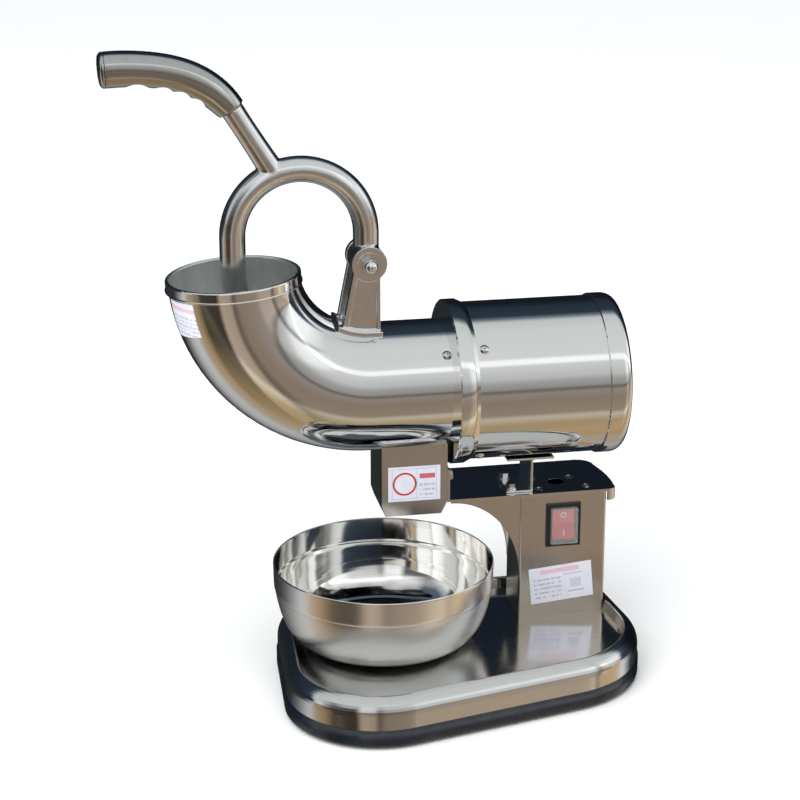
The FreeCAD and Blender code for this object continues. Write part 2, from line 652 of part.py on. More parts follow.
def ice_chute():
    x0, x1, low = CHUTE_X0, CHUTE_X1, CHUTE_BOTTOM
    high = AXIS_Z - 25.0
    outer = [(x0, high), (x0, low + 9), (x0 + 3, low), (x1 - 5.5, low), (x1, low + 11), (x1, high)]
    shape = prism_y(outer, CHUTE_Y0, CHUTE_Y1)
    t = SHEET
    inner = [(x0 + t, high + 1), (x0 + t, low + 8.5), (x0 + 3 + t, low - 1),
             (x1 - 5.5 - t, low - 1), (x1 - t, low + 10.5), (x1 - t, high + 1)]
    shape = shape.cut(prism_y(inner, CHUTE_Y0 + t, CHUTE_Y1 - t))
    shape = shape.cut(rod(TUBE_R, (-150, AXIS_Y, AXIS_Z), (1, 0, 0), 300))
    for y in (29.0, 55.0):
        shape = shape.cut(rod(M5 + CLEAR, (x1 - 5, y, 168.0), (1, 0, 0), 10))
    return [s for s in shape.Solids if s.BoundBox.ZMin < low + 1][0]


# ---- motor ----

def collar_screw_spots():
    """Seat and outward direction of the radial screws each side of the collar joint."""
    spots = []
    for x, radius, angles in ((-8.5, TUBE_R, (-48, 48)), (21.0, MOTOR_R, (-50, 50, -145, 145))):
        for angle in angles:
            a = math.radians(angle)
            d = (0.0, math.sin(a), math.cos(a))
            spots.append((x, AXIS_Y + radius * d[1], AXIS_Z + radius * d[2], d))
    return spots


def collar_flange():
    bore = TUBE_R + CLEAR
    return turned_x([(COLLAR_X0, bore), (COLLAR_X0, COLLAR_R - 1), (COLLAR_X0 + 1, COLLAR_R),
                     (9.0, COLLAR_R), (COLLAR_X1, MOTOR_R), (COLLAR_X1, MOTOR_R - SHEET - CLEAR),
                     (27.0, MOTOR_R - SHEET - CLEAR), (27.0, 62.0), (TUBE_END_X, 62.0),
                     (TUBE_END_X, bore)]).cut(collar_holes())


def collar_holes():
    holes = None
    for x, y, z, d in collar_screw_spots():
        if x > COLLAR_X0:
            hole = rod(2.0 + CLEAR, (x, y, z), (-d[0], -d[1], -d[2]), 8)
            holes = hole if holes is None else holes.fuse(hole)
    return holes


def collar_screws():
    solids = []
    for x, y, z, d in collar_screw_spots():
        head = domed_head(4.2, 2.4, (x, y, z), d)
        head = head.cut(cross_slot(4.2, 2.4, (x, y, z), d))
        radius = TUBE_R if x < COLLAR_X0 else MOTOR_R
        skirt = rod(4.2, (x, y, z), (-d[0], -d[1], -d[2]), 0.6)
        skirt = skirt.cut(rod(radius, (x - 20, AXIS_Y, AXIS_Z), (1, 0, 0), 40))
        length = 1.6 if x < COLLAR_X0 else 5.5
        shank = rod(2.0, (x, y, z), (-d[0], -d[1], -d[2]), length)
        solids.append(head.fuse(skirt).fuse(shank).removeSplitter())
    return compound(solids)


def motor_housing():
    shell = turned_x([(COLLAR_X1, MOTOR_R), (CAP_X0 + 8.0, MOTOR_R),
                      (CAP_X0 + 8.0, MOTOR_R - SHEET), (COLLAR_X1, MOTOR_R - SHEET)])
    for x in BRACKET_SCREW_XS:
        shell = shell.cut(rod(M5 + CLEAR, (x, AXIS_Y, AXIS_Z - MOTOR_R - 5), (0, 0, 1), 10))
    return shell.cut(collar_holes()).cut(rod(6.0, (CABLE_X, AXIS_Y, 150), (0, 0, 1), 50))


VENT_RING = 40.0
VENT_COUNT = 12


def end_cap():
    """Drawn cap with a rolled shoulder that slides over the housing."""
    steps = 8
    outer, inner = [], []
    depth = 9.0
    for i in range(steps + 1):
        a = math.radians(90.0 * i / steps)
        outer.append((CAP_X1 - depth + depth * math.sin(a),
                      CAP_FACE_R + (CAP_R - CAP_FACE_R) * math.cos(a)))
        inner.append((CAP_X1 - depth + (depth - SHEET) * math.sin(a),
                      CAP_FACE_R - 0.5 + (CAP_R - SHEET - CAP_FACE_R + 0.5) * math.cos(a)))
    profile = [(CAP_X0, MOTOR_R + RUN), (CAP_X0, CAP_R - 0.8), (CAP_X0 + 0.8, CAP_R)] + outer
    profile += [(CAP_X1, 0.0), (CAP_X1 - SHEET, 0.0)] + inner[::-1]
    cap = turned_x(profile)
    for i in range(VENT_COUNT):
        slot = box(CAP_X1 - 5, CAP_X1 + 5, AXIS_Y - 3.0, AXIS_Y + 3.0,
                   AXIS_Z + VENT_RING - 14.0, AXIS_Z + VENT_RING + 10.0)
        slot.rotate(V(0, AXIS_Y, AXIS_Z), V(1, 0, 0), 360.0 * i / VENT_COUNT)
        cap = cap.cut(slot)
    for y, z in cap_spots():
        cap = cap.cut(rod(2.0 + CLEAR, (CAP_X1 - 5, y, z), (1, 0, 0), 10))
    return cap


def cap_spots():
    spots = []
    for i in range(4):
        a = math.radians(45.0 + 90.0 * i)
        spots.append((AXIS_Y + 57.0 * math.cos(a), AXIS_Z + 57.0 * math.sin(a)))
    return spots


REAR_PLATE_X = 108.0


def cap_screws():
    solids = []
    for y, z in cap_spots():
        solids.append(screw(4.0, 2.2, 2.0, 9.0, (CAP_X1, y, z), (1, 0, 0)))
        low = REAR_PLATE_X + 4.0
        post = rod(4.5, (low, y, z), (1, 0, 0), CAP_X1 - SHEET - low)
        solids.append(post.cut(rod(2.0 + CLEAR, (CAP_X1 - 14, y, z), (1, 0, 0), 20)))
    return compound(solids)


def motor_stator():
    """Laminated pack with slots and a winding head at each end."""
    pack = turned_x([(45.0, 32.0), (45.0, MOTOR_R - SHEET - CLEAR),
                     (90.0, MOTOR_R - SHEET - CLEAR), (90.0, 32.0)])
    for i in range(24):
        slot = box(40.0, 95.0, AXIS_Y - 1.8, AXIS_Y + 1.8, AXIS_Z + 31.0, AXIS_Z + 50.0)
        slot.rotate(V(0, AXIS_Y, AXIS_Z), V(1, 0, 0), 15.0 * i + 7.5)
        pack = pack.cut(slot)
    return pack


def stator_windings():
    heads = []
    for x0 in (36.0, 90.0):
        head = turned_x([(x0, 37.0), (x0, 52.0), (x0 + 9.0, 54.0), (x0 + 9.0, 35.0)])
        heads.append(head)
    return compound(heads)


def motor_rotor():
    core = turned_x([(45.0, SHAFT_R), (45.0, 31.2), (90.0, 31.2), (90.0, SHAFT_R)])
    for x0 in (41.0, 90.0):
        core = core.fuse(turned_x([(x0, 18.0), (x0, 30.0), (x0 + 4.0, 30.0), (x0 + 4.0, 18.0)]))
    return core.removeSplitter()


def motor_shaft():
    shaft = rod(SHAFT_R, (CUTTER_X - 9.0, AXIS_Y, AXIS_Z), (1, 0, 0), 202.0)
    return shaft.makeChamfer(1.0, [e for e in shaft.Edges if len(e.Vertexes) == 1])


def ball_bearing(x0):
    """Two rings with the balls between them shown as a closed cage."""
    race = turned_x([(x0, SHAFT_R + RUN), (x0, 17.5), (x0 + 11.0, 17.5),
                     (x0 + 11.0, SHAFT_R + RUN)])
    for side in (x0, x0 + 10.0):
        race = race.cut(turned_x([(side, 10.5), (side, 14.8), (side + 1.0, 14.8),
                                  (side + 1.0, 10.5)]))
    return race


FRONT_PLATE_X = 10.0


def front_plate():
    """Bearing plate between the ice chamber and the motor."""
    x = FRONT_PLATE_X
    seat = 17.5 + RUN
    return turned_x([(x, 9.0), (x, 61.9), (x + 5, 61.9), (x + 5, 24.0), (x + 18, 22.0),
                     (x + 18, seat), (x + 6, seat), (x + 6, 9.0)])


def shaft_seal():
    x = FRONT_PLATE_X
    return turned_x([(x - 6.0, SHAFT_R + RUN), (x - 6.0, 13.0), (x, 15.0), (x, SHAFT_R + RUN)])


def rear_plate():
    x = REAR_PLATE_X
    seat = 17.5 + RUN
    plate = turned_x([(x, 9.0), (x, MOTOR_R - SHEET - CLEAR), (x + 4, MOTOR_R - SHEET - CLEAR),
                      (x + 4, 24.0), (x + 15, 22.0), (x + 15, seat), (x + 4, seat), (x + 4, 9.0)])
    for i in range(6):
        hole = rod(8.0, (x - 1, AXIS_Y, AXIS_Z + 40.0), (1, 0, 0), 6)
        hole.rotate(V(0, AXIS_Y, AXIS_Z), V(1, 0, 0), 60.0 * i)
        plate = plate.cut(hole)
    return plate


def cooling_fan():
    x = REAR_PLATE_X + 17.0
    fan = turned_x([(x, SHAFT_R), (x, 14.0), (x + 12, 14.0), (x + 12, SHAFT_R)])
    fan = fan.fuse(turned_x([(x, 13.0), (x, 44.0), (x + 2, 44.0), (x + 2, 13.0)]))
    for i in range(9):
        blade = box(x, x + 12, AXIS_Y - 1.0, AXIS_Y + 1.0, AXIS_Z + 13.5, AXIS_Z + 44.0)
        blade.rotate(V(0, AXIS_Y, AXIS_Z), V(1, 0, 0), 40.0 * i)
        fan = fan.fuse(blade)
    return fan.removeSplitter()


BLADE_COUNT = 3


def around_axis(shape, i, count):
    turned = shape.copy()
    turned.rotate(V(0, AXIS_Y, AXIS_Z), V(1, 0, 0), 360.0 * i / count)
    return turned


def cutter_disc():
    """Disc with one ice slot for each blade and a hub on the shaft."""
    x = CUTTER_X
    disc = turned_x([(x, SHAFT_R), (x, CUTTER_R), (x + CUTTER_T, CUTTER_R),
                     (x + CUTTER_T, 16.0), (x + 18, 14.0), (x + 18, SHAFT_R)])
    slot = box(x - 1, x + CUTTER_T + 1, AXIS_Y - 4.0, AXIS_Y + 4.0, AXIS_Z + 19.0, AXIS_Z + 47.0)
    hole = rod(1.5 + CLEAR, (x - 3, AXIS_Y + 10.0, AXIS_Z + 26.0), (1, 0, 0), 20)
    hole2 = rod(1.5 + CLEAR, (x - 3, AXIS_Y + 10.0, AXIS_Z + 40.0), (1, 0, 0), 20)
    for i in range(BLADE_COUNT):
        for tool in (slot, hole, hole2):
            disc = disc.cut(around_axis(tool, i, BLADE_COUNT))
    return disc


def cutter_blades():
    x = CUTTER_X
    edge = [V(x, AXIS_Y + 1.0, AXIS_Z + 20.0), V(x - 2.0, AXIS_Y + 4.0, AXIS_Z + 20.0),
            V(x - 2.0, AXIS_Y + 15.0, AXIS_Z + 20.0), V(x, AXIS_Y + 15.0, AXIS_Z + 20.0)]
    blade = Part.Face(Part.makePolygon(edge + edge[:1])).extrude(V(0, 0, 26.0))
    for z in (26.0, 40.0):
        blade = blade.cut(rod(1.5 + CLEAR, (x - 3, AXIS_Y + 10.0, AXIS_Z + z), (1, 0, 0), 20))
    return compound([around_axis(blade, i, BLADE_COUNT) for i in range(BLADE_COUNT)])


def blade_screws():
    x = CUTTER_X
    solids = []
    for z in (26.0, 40.0):
        one = screw(3.0, 1.4, 1.5, 6.5, (x - 2.0, AXIS_Y + 10.0, AXIS_Z + z), (-1, 0, 0))
        solids += [around_axis(one, i, BLADE_COUNT) for i in range(BLADE_COUNT)]
    return compound(solids)


def cutter_nut():
    """Domed nut that holds the disc on the shaft's threaded end."""
    x = CUTTER_X
    nut = hexagon(19.0, (x - 8.0, AXIS_Y, AXIS_Z), (1, 0, 0), 8.0)
    dome = Part.makeSphere(9.0, V(x - 8.0, AXIS_Y, AXIS_Z))
    dome = dome.common(box(x - 30, x - 7.0, 0, 100, 200, 300))
    return nut.fuse(dome).cut(rod(SHAFT_R, (x - 9.0, AXIS_Y, AXIS_Z), (1, 0, 0), 20))


# ---- lever and its pivot ----

def bar_section(x, half_h, half_w, z=PIVOT_Z):
    """Lens-like section of the cast lever, in a level plane, with a soft ridge each side."""
    near, far = V(x, AXIS_Y - half_w, z), V(x, AXIS_Y + half_w, z)
    left, right = V(x - half_h, AXIS_Y, z), V(x + half_h, AXIS_Y, z)
    return Part.Wire([Part.Arc(near, left, far).toShape(), Part.Arc(far, right, near).toShape()])


def pivot_bracket():
    """Saddle on the tube with two ribbed cheeks, cast in one piece."""
    shape = feed_body(TUBE_R + SADDLE_T)
    shape = shape.common(box(-97.0, -59.5, AXIS_Y - 22, AXIS_Y + 22, 280, 330))
    foot_z = AXIS_Z + 46.0
    for side in (-1, 1):
        y_in = AXIS_Y + side * CHEEK_IN
        y_out = AXIS_Y + side * (CHEEK_IN + CHEEK_T)
        y_rib = AXIS_Y + side * (CHEEK_IN + CHEEK_T + 1.6)
        outline = [(BEND_X - 12.0, PIVOT_Z), (-95.0, foot_z), (-61.0, foot_z),
                   (BEND_X + 9.0, PIVOT_Z)]
        cheek = prism_y(outline, min(y_in, y_out), max(y_in, y_out))
        boss = rod(BOSS_R, (BEND_X, min(y_in, y_rib), PIVOT_Z), (0, 1, 0), abs(y_rib - y_in))
        left = prism_y([(BEND_X - 12.0, PIVOT_Z), (-95.0, foot_z), (-91.0, foot_z),
                        (BEND_X - 8.5, PIVOT_Z)], min(y_in, y_rib), max(y_in, y_rib))
        right = prism_y([(BEND_X + 6.0, PIVOT_Z), (-64.0, foot_z), (-61.0, foot_z),
                         (BEND_X + 9.0, PIVOT_Z)], min(y_in, y_rib), max(y_in, y_rib))
        shape = shape.fuse(cheek).fuse(boss).fuse(left).fuse(right)
    shape = shape.cut(feed_body(TUBE_R))
    shape = shape.cut(rod(BOLT_R + CLEAR, (BEND_X, 0, PIVOT_Z), (0, 1, 0), 100))
    for seat, d in saddle_seats():
        shape = shape.cut(rod(4.0, tuple(seat), tuple(d), 4))
        shape = shape.cut(rod(2.0 + CLEAR, tuple(seat), (-d.x, -d.y, -d.z), 8))
    shape = shape.removeSplitter()
    return max(shape.Solids, key=lambda s: s.Volume)


def saddle_seats():
    """Seat and outward direction of the two screws in the saddle, on the inside of the bend."""
    seats = []
    inner = BEND_R - TUBE_R - SADDLE_T
    for degrees in (8.0, 25.0):
        a = math.radians(degrees)
        d = V(math.sin(a), 0, math.cos(a))
        seats.append((V(BEND_X, AXIS_Y, PIVOT_Z) - d * (inner + 0.4), d))
    return seats


def saddle_screws():
    """Two screws through the saddle and the wall of the tube."""
    return compound([screw(3.6, 2.0, 2.0, 5.0, tuple(seat), tuple(d)) for seat, d in saddle_seats()])


BOLT_FACE = CHEEK_IN + CHEEK_T + 1.6


def pivot_bolt():
    head = hexagon(13.0, (BEND_X, AXIS_Y + BOLT_FACE + 1.5, PIVOT_Z), (0, 1, 0), 5.0)
    shank = rod(BOLT_R, (BEND_X, AXIS_Y - BOLT_FACE - 7.0, PIVOT_Z), (0, 1, 0),
                2 * BOLT_FACE + 8.5)
    return head.fuse(shank).removeSplitter()


def pivot_washers():
    solids = []
    for y in (AXIS_Y - BOLT_FACE - 1.5, AXIS_Y + BOLT_FACE):
        solids.append(tube(10.0, BOLT_R + CLEAR, (BEND_X, y, PIVOT_Z), (0, 1, 0), 1.5))
    return compound(solids)


def pivot_nut():
    """Domed cap nut on the operator's side."""
    y = AXIS_Y - BOLT_FACE - 1.5
    nut = hexagon(13.0, (BEND_X, y, PIVOT_Z), (0, -1, 0), 5.5)
    dome = Part.makeSphere(5.9, V(BEND_X, y - 5.5, PIVOT_Z))
    dome = dome.common(rod(5.9, (BEND_X, y - 5.5, PIVOT_Z), (0, -1, 0), 8))
    return nut.fuse(dome).cut(rod(BOLT_R, (BEND_X, y + 1, PIVOT_Z), (0, -1, 0), 6.6))


NECK_START = (-79.0, 81.0)       # from the pivot
NECK_END = (-110.0, 131.5)


def grip_line(t):
    """Centreline of the grip from the neck (0) to its end (1), and its direction."""
    x0, z0 = NECK_END
    x1, z1 = -211.5, 167.0
    a0, a1 = math.radians(124.0), math.radians(183.0)
    pull = 118.0
    h = [2 * t ** 3 - 3 * t ** 2 + 1, t ** 3 - 2 * t ** 2 + t, -2 * t ** 3 + 3 * t ** 2, t ** 3 - t ** 2]
    d = [6 * t ** 2 - 6 * t, 3 * t ** 2 - 4 * t + 1, -6 * t ** 2 + 6 * t, 3 * t ** 2 - 2 * t]

    def mix(w, p0, p1, m0, m1):
        return w[0] * p0 + w[1] * m0 + w[2] * p1 + w[3] * m1
    mx0, mx1 = pull * math.cos(a0), pull * math.cos(a1)
    mz0, mz1 = pull * math.sin(a0), pull * math.sin(a1)
    place = (mix(h, x0, x1, mx0, mx1), mix(h, z0, z1, mz0, mz1))
    run = math.atan2(mix(d, z0, z1, mz0, mz1), mix(d, x0, x1, mx0, mx1))
    return place, run


def section_across(place, run, up, down, half_w):
    """Section square to a line in the lever's plane, up and down from its centre."""
    nx, nz = math.sin(run), -math.cos(run)
    x, z = BEND_X + place[0], PIVOT_Z + place[1]
    near, far = V(x, AXIS_Y - half_w, z), V(x, AXIS_Y + half_w, z)
    top = V(x + nx * up, AXIS_Y, z + nz * up)
    low = V(x - nx * down, AXIS_Y, z - nz * down)
    return Part.Wire([Part.Arc(near, top, far).toShape(), Part.Arc(far, low, near).toShape()])


def lever_neck():
    """Neck from the ring to the grip, and the tang that goes into the grip."""
    (ax, az), (bx, bz) = NECK_START, NECK_END
    run = math.atan2(bz - az, bx - ax)
    root = (ax - 12 * math.cos(run), az - 12 * math.sin(run))
    neck = Part.makeLoft([section_across(root, run, 11.0, 11.0, 11.0),
                          section_across(NECK_START, run, 10.4, 10.4, 10.6),
                          section_across(NECK_END, run, 9.6, 9.6, 10.2)], True, False)
    place, turn = grip_line(0.16)
    tang = Part.makeLoft([section_across(NECK_END, run, 5.0, 5.0, 5.0),
                          section_across(place, turn, 4.0, 4.0, 4.0)], True, False)
    return [neck, tang]


def feed_lever():
    """Cast lever: boss, ring, arm into the tube, and neck with a tang for the grip."""
    pivot = V(BEND_X, AXIS_Y, PIVOT_Z)
    centre = V(BEND_X + RING_DX, AXIS_Y, PIVOT_Z + RING_DZ)
    face = Part.Face(bar_section(centre.x + RING_R, BAR_H, BAR_W, centre.z))
    ring = face.revolve(centre, V(0, -1, 0), 180)
    right = Part.Face(bar_section(centre.x + RING_R, BAR_H, BAR_W)).extrude(V(0, 0, RING_DZ))
    left = Part.Face(bar_section(centre.x - RING_R, BAR_H, BAR_W)).extrude(V(0, 0, RING_DZ))
    arm = Part.Face(bar_section(centre.x - RING_R, BAR_H, BAR_W))
    arm = arm.revolve(pivot, V(0, -1, 0), PUSH_ANGLE)
    boss = rod(BOSS_R - 0.5, (BEND_X, AXIS_Y - BAR_W, PIVOT_Z), (0, 1, 0), 2 * BAR_W)
    shape = ring
    for piece in [right, left, arm, boss] + lever_neck():
        shape = shape.fuse(piece)
    shape = shape.cut(rod(BOLT_R + RUN, (BEND_X, 0, PIVOT_Z), (0, 1, 0), 100))
    end = pusher_frame()
    return shape.cut(rod(3.0 + CLEAR, end[1], end[2], 16)).removeSplitter()


GRIP_STATIONS = [(0.0, 11.6, 12.4, 12.0), (0.16, 12.4, 14.6, 13.0), (0.38, 13.2, 15.2, 13.8),
                 (0.62, 13.6, 15.2, 14.2), (0.82, 14.0, 15.2, 14.4), (1.0, 14.2, 15.4, 14.4)]
GROOVES = [0.235, 0.40, 0.56, 0.77]


def lever_grip():
    """Handle grip that widens to its end, with four finger grooves below."""
    wires = []
    for t, up, down, half_w in GRIP_STATIONS:
        place, run = grip_line(t)
        wires.append(section_across(place, run, up, down, half_w))
    grip = Part.makeLoft(wires, True, False)
    for i, t in enumerate(GROOVES):
        place, run = grip_line(t)
        radius = 13.0 if i == len(GROOVES) - 1 else 9.5
        bite = 3.6 if i == len(GROOVES) - 1 else 3.2
        off = 15.2 + radius - bite
        x = BEND_X + place[0] - math.sin(run) * off
        z = PIVOT_Z + place[1] + math.cos(run) * off
        grip = grip.cut(rod(radius, (x, AXIS_Y - 30, z), (0, 1, 0), 60))
    for piece in lever_neck():
        grip = grip.cut(piece)
    return grip.removeSplitter()


def grip_end_cap():
    """Domed plug that closes the end of the grip."""
    place, run = grip_line(1.0)
    d = V(math.cos(run), 0, math.sin(run))
    x, z = BEND_X + place[0], PIVOT_Z + place[1]
    wires = []
    for along, shrink in ((0.0, 1.0), (1.6, 0.985), (3.2, 0.90), (4.4, 0.74), (5.0, 0.45)):
        spot = (place[0] + d.x * along, place[1] + d.z * along)
        wires.append(section_across(spot, run, 14.2 * shrink, 15.4 * shrink, 14.4 * shrink))
    cap = Part.makeLoft(wires, True, False)
    return cap.cut(rod(1.0, (x + d.x * 4, AXIS_Y, z + d.z * 4), tuple(d), 4))


def pusher_frame():
    """Centre of the pusher's upper face, a point inside the arm, and the way down the tube."""
    a = math.radians(PUSH_ANGLE)
    x = BEND_X - (RING_R - RING_DX) * math.cos(a)
    z = PIVOT_Z - (RING_R - RING_DX) * math.sin(a)
    down = (math.sin(a), 0.0, -math.cos(a))
    inside = (x - down[0] * 15, AXIS_Y, z - down[2] * 15)
    return (x, AXIS_Y, z), inside, down


def pusher_plate():
    """Ribbed round plate that drives the ice round the elbow."""
    top, _, down = pusher_frame()
    plate = rod(PUSHER_R, top, down, PUSHER_T)
    plate = plate.makeFillet(1.5, [e for e in plate.Edges if len(e.Vertexes) == 1
                                   and abs(e.Length - 2 * math.pi * PUSHER_R) < 1])
    low = V(*top) + V(*down) * PUSHER_T
    for radius in (18.0, 30.0, 42.0):
        plate = plate.fuse(tube(radius + 1.2, radius - 1.2, tuple(low), down, 2.0))
    return plate.cut(rod(3.0 + CLEAR, top, down, 30)).removeSplitter()


def pusher_screw():
    top, inside, down = pusher_frame()
    low = V(*top) + V(*down) * PUSHER_T
    head = domed_head(6.0, 3.0, tuple(low), down).cut(cross_slot(6.0, 3.0, tuple(low), down))
    return head.fuse(rod(3.0, inside, down, 15 + PUSHER_T)).removeSplitter()


# ---- bowl ----

def bowl_wall(inset):
    """Half profile (radius, height above the base plate), from the floor to the rim."""
    h = BOWL_RIM_Z - PLATE_Z
    t = inset
    return [(52.0, 0.0 + t), (63.0 - t * 0.1, 0.9 + t), (72.0 - t * 0.4, 4.5 + t * 0.9),
            (80.0 - t * 0.7, 12.2 + t * 0.7), (86.0 - t * 0.9, 21.5 + t * 0.5),
            (90.0 - t, 33.0 + t * 0.2), (92.6 - t, 45.0), (93.3 - t, 51.0),
            (94.1 - t, 52.2), (BOWL_R - 0.6 - t, h - 1.4)]


def ice_bowl():
    def spot(r, h):
        return V(BOWL_X + r, BOWL_Y, PLATE_Z + h)
    outer = bowl_wall(0.0)
    inner = bowl_wall(BOWL_T)
    h = BOWL_RIM_Z - PLATE_Z

    def curve(points):
        spline = Part.BSplineCurve()
        flat_end = points[0][1] < points[-1][1]
        ends = (V(1, 0, 0), V(0.05, 0, 1)) if flat_end else (V(-0.05, 0, -1), V(-1, 0, 0))
        spline.interpolate([spot(r, z) for r, z in points], InitialTangent=ends[0],
                           FinalTangent=ends[1])
        return spline.toShape()
    edges = [
        Part.LineSegment(spot(0, 0), spot(*outer[0])).toShape(),
        curve(outer[:-2]),
        Part.LineSegment(spot(*outer[-3]), spot(*outer[-2])).toShape(),
        Part.LineSegment(spot(*outer[-2]), spot(*outer[-1])).toShape(),
        Part.Arc(spot(*outer[-1]), spot(BOWL_R - 1.2, h), spot(*inner[-1])).toShape(),
        Part.LineSegment(spot(*inner[-1]), spot(*inner[-2])).toShape(),
        Part.LineSegment(spot(*inner[-2]), spot(*inner[-3])).toShape(),
        curve(inner[:-2][::-1]),
        Part.LineSegment(spot(*inner[0]), spot(0, BOWL_T)).toShape(),
        Part.LineSegment(spot(0, BOWL_T), spot(0, 0)).toShape(),
    ]
    face = Part.Face(Part.Wire(edges))
    return face.revolve(V(BOWL_X, BOWL_Y, 0), V(0, 0, 1), 360)


NODES = {
    "base_pan": base_pan,
    "base_cover": base_cover,
    "rubber_feet": rubber_feet,
    "foot_screws": foot_screws,
    "base_spacers": base_spacers,
    "clinch_nuts": clinch_nuts,
    "cable_gland": cable_gland,
    "column_box": column_box,
    "column_screws": column_screws,
    "column_gussets": column_gussets,
    "platform": platform,
    "platform_bolts": platform_bolts,
    "motor_bracket": motor_bracket,
    "bracket_bolts": bracket_bolts,
    "switch_housing": switch_housing,
    "switch_rocker": switch_rocker,
    "switch_cover": switch_cover,
    "rating_label": rating_label,
    "chute_label": chute_label,
    "run_capacitor": run_capacitor,
    "capacitor_clip": capacitor_clip,
    "hopper_tube": hopper_tube,
    "hopper_label": hopper_label,
    "ice_chute": ice_chute,
    "collar_flange": collar_flange,
    "collar_screws": collar_screws,
    "motor_housing": motor_housing,
    "end_cap": end_cap,
    "cap_screws": cap_screws,
    "motor_stator": motor_stator,
    "stator_windings": stator_windings,
    "motor_rotor": motor_rotor,
    "motor_shaft": motor_shaft,
    "front_bearing": lambda: ball_bearing(FRONT_PLATE_X + 6.5),
    "rear_bearing": lambda: ball_bearing(REAR_PLATE_X + 4.0),
    "front_plate": front_plate,
    "shaft_seal": shaft_seal,
    "rear_plate": rear_plate,
    "cooling_fan": cooling_fan,
    "cutter_disc": cutter_disc,
    "cutter_blades": cutter_blades,
    "blade_screws": blade_screws,
    "cutter_nut": cutter_nut,
    "pivot_bracket": pivot_bracket,
    "saddle_screws": saddle_screws,
    "pivot_bolt": pivot_bolt,
    "pivot_washers": pivot_washers,
    "pivot_nut": pivot_nut,
    "feed_lever": feed_lever,
    "lever_grip": lever_grip,
    "grip_end_cap": grip_end_cap,
    "pusher_plate": pusher_plate,
    "pusher_screw": pusher_screw,
    "ice_bowl": ice_bowl,
}


def main():
    os.makedirs("parts", exist_ok=True)
    for name, make in NODES.items():
        shape = make()
        shape.translate(V(*TO_MIDDLE, 0))
        solids = shape.Solids
        print(name, len(solids), round(sum(s.Volume for s in solids)), shape.isValid())
        if len(solids) == 1:
            shape = solids[0]
        shape.exportStep("parts/" + name + ".step")


main()
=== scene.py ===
"""Looks of the shaved ice machine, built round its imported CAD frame.

Metres, +Z up, operator at -Y.
"""
import math

import bmesh
import bpy
from mathutils import Matrix, Vector
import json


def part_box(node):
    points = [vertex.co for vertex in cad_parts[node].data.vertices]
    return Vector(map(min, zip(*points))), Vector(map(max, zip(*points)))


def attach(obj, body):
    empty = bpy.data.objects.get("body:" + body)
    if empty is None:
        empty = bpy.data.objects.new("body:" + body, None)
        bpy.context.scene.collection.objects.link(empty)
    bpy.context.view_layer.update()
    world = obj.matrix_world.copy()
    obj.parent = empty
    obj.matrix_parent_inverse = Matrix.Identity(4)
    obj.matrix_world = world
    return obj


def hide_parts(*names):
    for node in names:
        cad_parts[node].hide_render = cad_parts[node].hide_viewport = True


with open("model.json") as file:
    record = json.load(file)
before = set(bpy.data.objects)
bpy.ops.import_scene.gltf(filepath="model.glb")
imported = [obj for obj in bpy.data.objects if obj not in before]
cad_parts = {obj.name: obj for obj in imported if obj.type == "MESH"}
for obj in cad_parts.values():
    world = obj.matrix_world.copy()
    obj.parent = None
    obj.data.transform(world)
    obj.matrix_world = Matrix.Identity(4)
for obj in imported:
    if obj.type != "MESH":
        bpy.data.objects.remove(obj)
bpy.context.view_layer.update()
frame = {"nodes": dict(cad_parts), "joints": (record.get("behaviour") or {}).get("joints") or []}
NODES = frame["nodes"]
scene = bpy.context.scene
MM = 0.001
WELD = 0.000002              # distance within which seam points are joined
TUBE_WALL_INSIDE = 0.0548    # distance from the tube's axis that tells its inside faces
KEPT_FACES = 0.5             # share of a casting's faces that is kept
SHARP_ANGLE = 34             # degrees above which an edge is broken
JOINTS = {joint["name"]: joint for joint in frame["joints"]}
LABEL_TILT = -5.3            # degrees that the column's label is askew
PIVOT = Vector(JOINTS["lever_pivot"]["pos_m"])
ROCKER_PIVOT = Vector(JOINTS["rocker_tilt"]["pos_m"])
AXIS = Vector(JOINTS["rotor_spin"]["pos_m"])


# ---- camera, light and surroundings ----

def make_camera():
    data = bpy.data.cameras.new("camera")
    data.sensor_width = 36.0
    data.lens = 99.0
    data.clip_start = 0.05
    data.clip_end = 50.0
    camera = bpy.data.objects.new("camera", data)
    camera.location = (-0.3108, -1.6971, 0.8496)
    camera.rotation_euler = (math.radians(71.0), 0.0, math.radians(-10.8))
    scene.collection.objects.link(camera)
    scene.camera = camera


def area_light(name, place, aim, size, power):
    data = bpy.data.lights.new(name, "AREA")
    data.shape = "RECTANGLE"
    data.size, data.size_y = size
    data.energy = power
    light = bpy.data.objects.new(name, data)
    light.location = place
    light.rotation_euler = (Vector(aim) - Vector(place)).to_track_quat("-Z", "Y").to_euler()
    light.visible_glossy = False
    light.visible_camera = False
    scene.collection.objects.link(light)


def sun_light(name, towards, power):
    """Wide soft light from one direction, which lights the whole floor evenly."""
    data = bpy.data.lights.new(name, "SUN")
    data.energy = power
    data.angle = math.radians(70)
    light = bpy.data.objects.new(name, data)
    light.rotation_euler = Vector(towards).to_track_quat("Z", "Y").to_euler()
    light.visible_glossy = False
    light.visible_camera = False
    scene.collection.objects.link(light)


def ramp_stops(ramp, stops, low, high):
    """Fill a colour ramp from (value, colour) pairs, with values from low to high."""
    elements = ramp.color_ramp.elements
    while len(elements) > 1:
        elements.remove(elements[-1])
    for i, (value, colour) in enumerate(stops):
        place = (value - low) / (high - low)
        element = elements[0] if i == 0 else elements.new(place)
        element.position = place
        element.color = (*colour, 1.0)


def grey(value):
    return (value, value, value)


